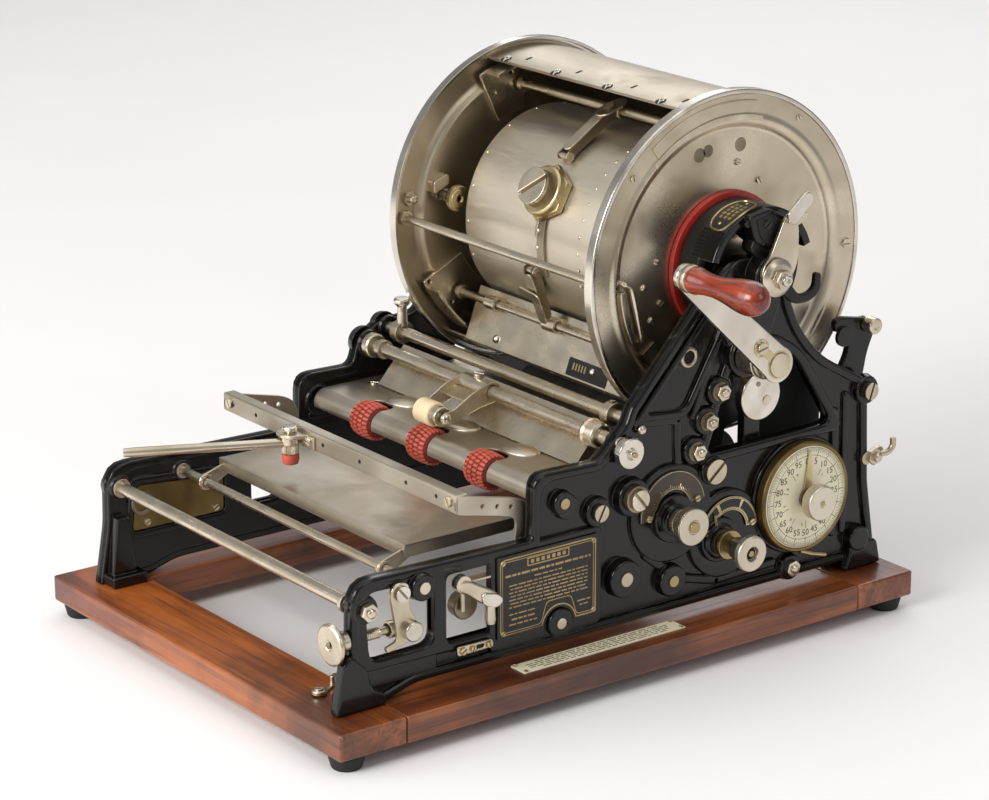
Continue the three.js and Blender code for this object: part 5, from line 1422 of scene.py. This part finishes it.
# ---- small controls ----
def controls():
    k = Piece("front_knob", "front_knob", "satin_nickel", "nickel", "polished", "dark_nickel")
    k.move(*FRONT_SCREW, lay=ALONG_Y)
    k.lathe([(-231.4, 0), (-231.4, 3.2), (-232, 3.8), (-232, 12.4), (-231, 14), (-228.8, 14),
             (-227.5, 12.6), (-227.5, 0)], 0, 72, 0.5)
    k.lathe([(-228, 7.8), (-224, 7.8), (-223.2, 7), (-219, 7), (-219, 0)], 0, 48, 0.4)
    k.rod(-221, -184.2, 2.8, 0, 24, 0.4)
    thread = [(3.3 * sin(t * 0.9), -216 + t * 0.21, 3.3 * cos(t * 0.9)) for t in range(110)]
    k.move(*FRONT_SCREW)
    k.tube(thread, 0.6, 0, 6)
    k.move(*FRONT_SCREW, lay=ALONG_Y)
    k.dome(-232.1, 0, 0, 2.2, 0.6, 2)
    k.done("front_knob")

    b = Piece("bell_crank", "bell_crank", "satin_nickel", "nickel", "polished", "dark_nickel")
    b.move(0, -179.5, 100.5)
    b.plate(rounded([(-10, 3, 4), (-5.5, 9.5, 6), (4.6, 8, 6), (5.6, 0, 4), (5, -9, 6), (9.5, -18, 5),
                     (13, -26, 5), (9.5, -31.5, 4), (-12.5, -37, 1.5), (-13.8, -33.4, 1.5),
                     (-4.5, -30.5, 3), (-5, -24, 5), (-7.5, -10, 10)]), 152.3, 155.3, 0, 0.6)
    b.screw(155.2, -1, 1.5, 5.4, 2.6, 130, 1, 2)
    b.move(*FRONT_SCREW, lay=ALONG_Y)
    b.collar(-186.5, -178, 4.5, 5.7, 0, 32, 0.3, True)
    b.move(0, -173.5, 75.5)
    b.rod(144.5, 151, 5.6, 0, 40, 0.5)
    b.lathe([(155.2, 0), (155.2, 6.8), (159.6, 6.8), (160.2, 6), (160.2, 0)], 1, 48, 0.4)
    b.done("bell_crank")

    t = Piece("thumb_lever", "thumb_lever", "satin_nickel", "nickel", "polished")
    t.move(0, -133, 98)
    t.plate(rounded([(-5, -4, 3), (-4, 4, 3), (3, 3, 3), (14, -3.4, 8), (26, -10, 6), (30, -17, 4),
                     (24, -21, 5), (12, -15.5, 8), (3, -8, 4)]), 154.8, 159.4, 0, 2.1, 4)
    t.plate(rounded([(13, -8, 5), (26, -11, 5), (31, -17, 4), (25, -21.5, 5), (13, -16.5, 5)]), 158.6, 161,
            1, 1.0, 4)
    t.disc(152.6, 0, 0, 6, 5.8, 0, 0.6)
    t.move(157.6, -111.6, 0, lay=ALONG_Z)
    t.lathe([(66, 0), (66, 3.4), (69, 3.8), (76, 3.4), (80, 3.4), (80, 0)], 0, 28, 0.5)
    t.done("thumb_lever")
    u = Piece("thumb_lever_bracket", "machine_frame", "satin_nickel", "dark_nickel", "nickel")
    u.block(144, -130, 95, 151.6, -105, 96.6, 1, 0.3)
    u.block(149.6, -130, 76, 151.2, -127.4, 96, 1, 0.3)
    u.move(0, -124, 78)
    u.lathe([(139, 0), (139, 9), (147, 9.6), (148, 8.8), (148, 0)], 0, 40, 0.6)
    u.done()

    latch = Piece("slide_latch", "slide_latch", "brass", "nickel", "pale_brass")
    latch.move(0, -121, 50.5)
    latch.plate([rounded([(-15, -3.4, 2.6), (14, -2.8, 2.6), (14, 2.8, 2.6), (-15, 3.4, 2.6)]),
                 link(1.4, 0, 1.3, 5.4, 0, 1.3)], 152.3, 154.6, 0, 0.5)
    for y, r, turn in ((-10.5, 2.7, 30), (-2.6, 2.2, 75), (10.6, 2.4, 110)):
        latch.screw(154.4, y, 0, r, 1.8, turn, 1)
    latch.done("slide_latch")

    a = Piece("spacing_knob", "spacing_knob", "satin_nickel", "pale_nickel", "nickel", "brass",
              "dark_nickel", "enamel")
    a.move(0, 46.5, 103.5)
    a.lathe([(152.3, 0), (152.3, 12.4), (156, 11.6), (157, 9), (160, 8.4), (160, 0)], 4, 48, 0.7)
    a.lathe([(160, 0), (160, 9.6), (164, 9.6), (164, 7.4), (169, 7.2), (169, 0)], 1, 48, 0.5)
    a.plate(knurl(13.1, 12.75, 48), 168.8, 174.6, 1, 0.6, 2)
    a.lathe([(174, 0), (174, 12.6), (175.6, 12.9), (176, 12.3), (176, 5.2), (175.4, 4.8), (175.4, 0)], 0,
            72, 0.3)
    a.lathe([(175.2, 0), (175.2, 4.0), (176.8, 3.8), (177, 3.2), (177, 0)], 2, 32, 0.3)
    a.dome(164, 6.5, -5, 1.2, 1.2, 3)
    a.done("spacing_knob")

    m = Piece("margin_knob", "margin_knob", "satin_nickel", "pale_nickel", "nickel", "brass",
              "dark_nickel", "enamel", "shadow")
    m.move(0, 87.5, 79)
    m.lathe([(152.3, 0), (152.3, 14), (155, 13), (157, 11), (157, 0)], 4, 56, 0.8)
    m.lathe([(157, 0), (157, 9.4), (160, 9.4), (160, 7.6), (165, 7.6), (165, 6), (184, 6), (184, 0)], 3,
            48, 0.5)
    m.lathe([(162, 5.8), (162, 10.2), (164, 10.6), (166, 10.2), (166, 5.8)], 2, 48, 0.4)
    m.lathe([(172, 5.8), (172, 7.6), (184, 8.6), (184, 5.8)], 1, 48, 0.4)
    m.lathe([(183.8, 0), (183.8, 12.2), (184.6, 12.7), (188.4, 12.7), (189.5, 11.8), (189.5, 5.4),
             (186.5, 4.6), (186.5, 0)], 0, 72, 0.5)
    # thin disc in the shadow look at the floor of the cap's hollow: painted shade
    m.lathe([(186.4, 0), (186.4, 4.4), (186.7, 4.4), (186.7, 0)], 5, 32)
    m.lathe([(186.6, 0), (186.6, 2.4), (188.2, 2.2), (188.2, 0)], 2, 24, 0.2)
    m.tube([(156, -2, 5), (155, -4, 14), (155, -5, 20)], 0.9, 2, 8)
    m.done("margin_knob")

    d = Piece("counter_hand", "counter_hand", "satin_nickel", "pale_nickel", "nickel", "brass",
              "dark_nickel", "shadow", "pale_brass")
    d.move(*DIAL)
    face = FACE + 7.3
    d.lathe([(face - 5, 0), (face - 5, 4.4), (face + 0.6, 4.4), (face + 0.6, 7.4), (face + 2.4, 7.4),
             (face + 2.4, 6.2), (168, 6.2), (168, 0)], 3, 40, 0.3)
    d.lathe([(167.6, 0), (167.6, 11.6), (168.6, 12.6), (176, 12.6), (177, 11.8), (177, 3), (176.5, 2.6),
             (176.5, 0)], 0, 80, 0.5)
    d.dome(176.4, 0, 0, 2.0, 0.7, 2)
    d.move(*DIAL, -2)
    d.plate(rounded([(-4.6, 2, 1), (4.6, 2, 1), (3.4, 12, 2), (0.8, 34, 0.4), (-0.8, 34, 0.4),
                     (-3.4, 12, 2)]), face + 0.8, face + 1.8, 5, 0.3)
    d.done("counter_hand")

    r = Piece("rear_lever", "rear_lever", "black_enamel", "enamel", "nickel")
    r.plate(rounded([(206, 203, 3), (205, 211, 4), (212, 213, 4), (242, 207, 5), (243, 197, 4),
                     (237, 184, 6), (231, 156, 6), (209, 152, 6), (210, 172, 8), (218, 186, 6),
                     (219, 198, 6)]), 132, 137.6, 0, 1.2)
    r.disc(137.2, 213, 199, 7.4, 3, 0, 0.8)
    r.disc(137.2, 218, 160, 8, 2, 0, 0.6)
    r.move(0, 236, 204)
    r.lathe([(137, 0), (137, 5), (139, 5), (139, 6), (146, 6), (147, 5.2), (147, 2.4), (146.4, 2),
             (146.4, 0)], 1, 44, 0.5)
    r.lathe([(130, 0), (130, 4.6), (132, 5), (132, 0)], 1, 32, 0.4)
    r.done("rear_lever")


cross_pieces()
faces()
drum()
drum_fittings()
hub()
crank()
grip()
feed()
guide()
impression()
paper()
controls()

# the drum gear is carried over from CAD, and wears the common nickel
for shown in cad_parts.values():
    for held in shown.material_slots:
        held.material = LOOKS["nickel"]
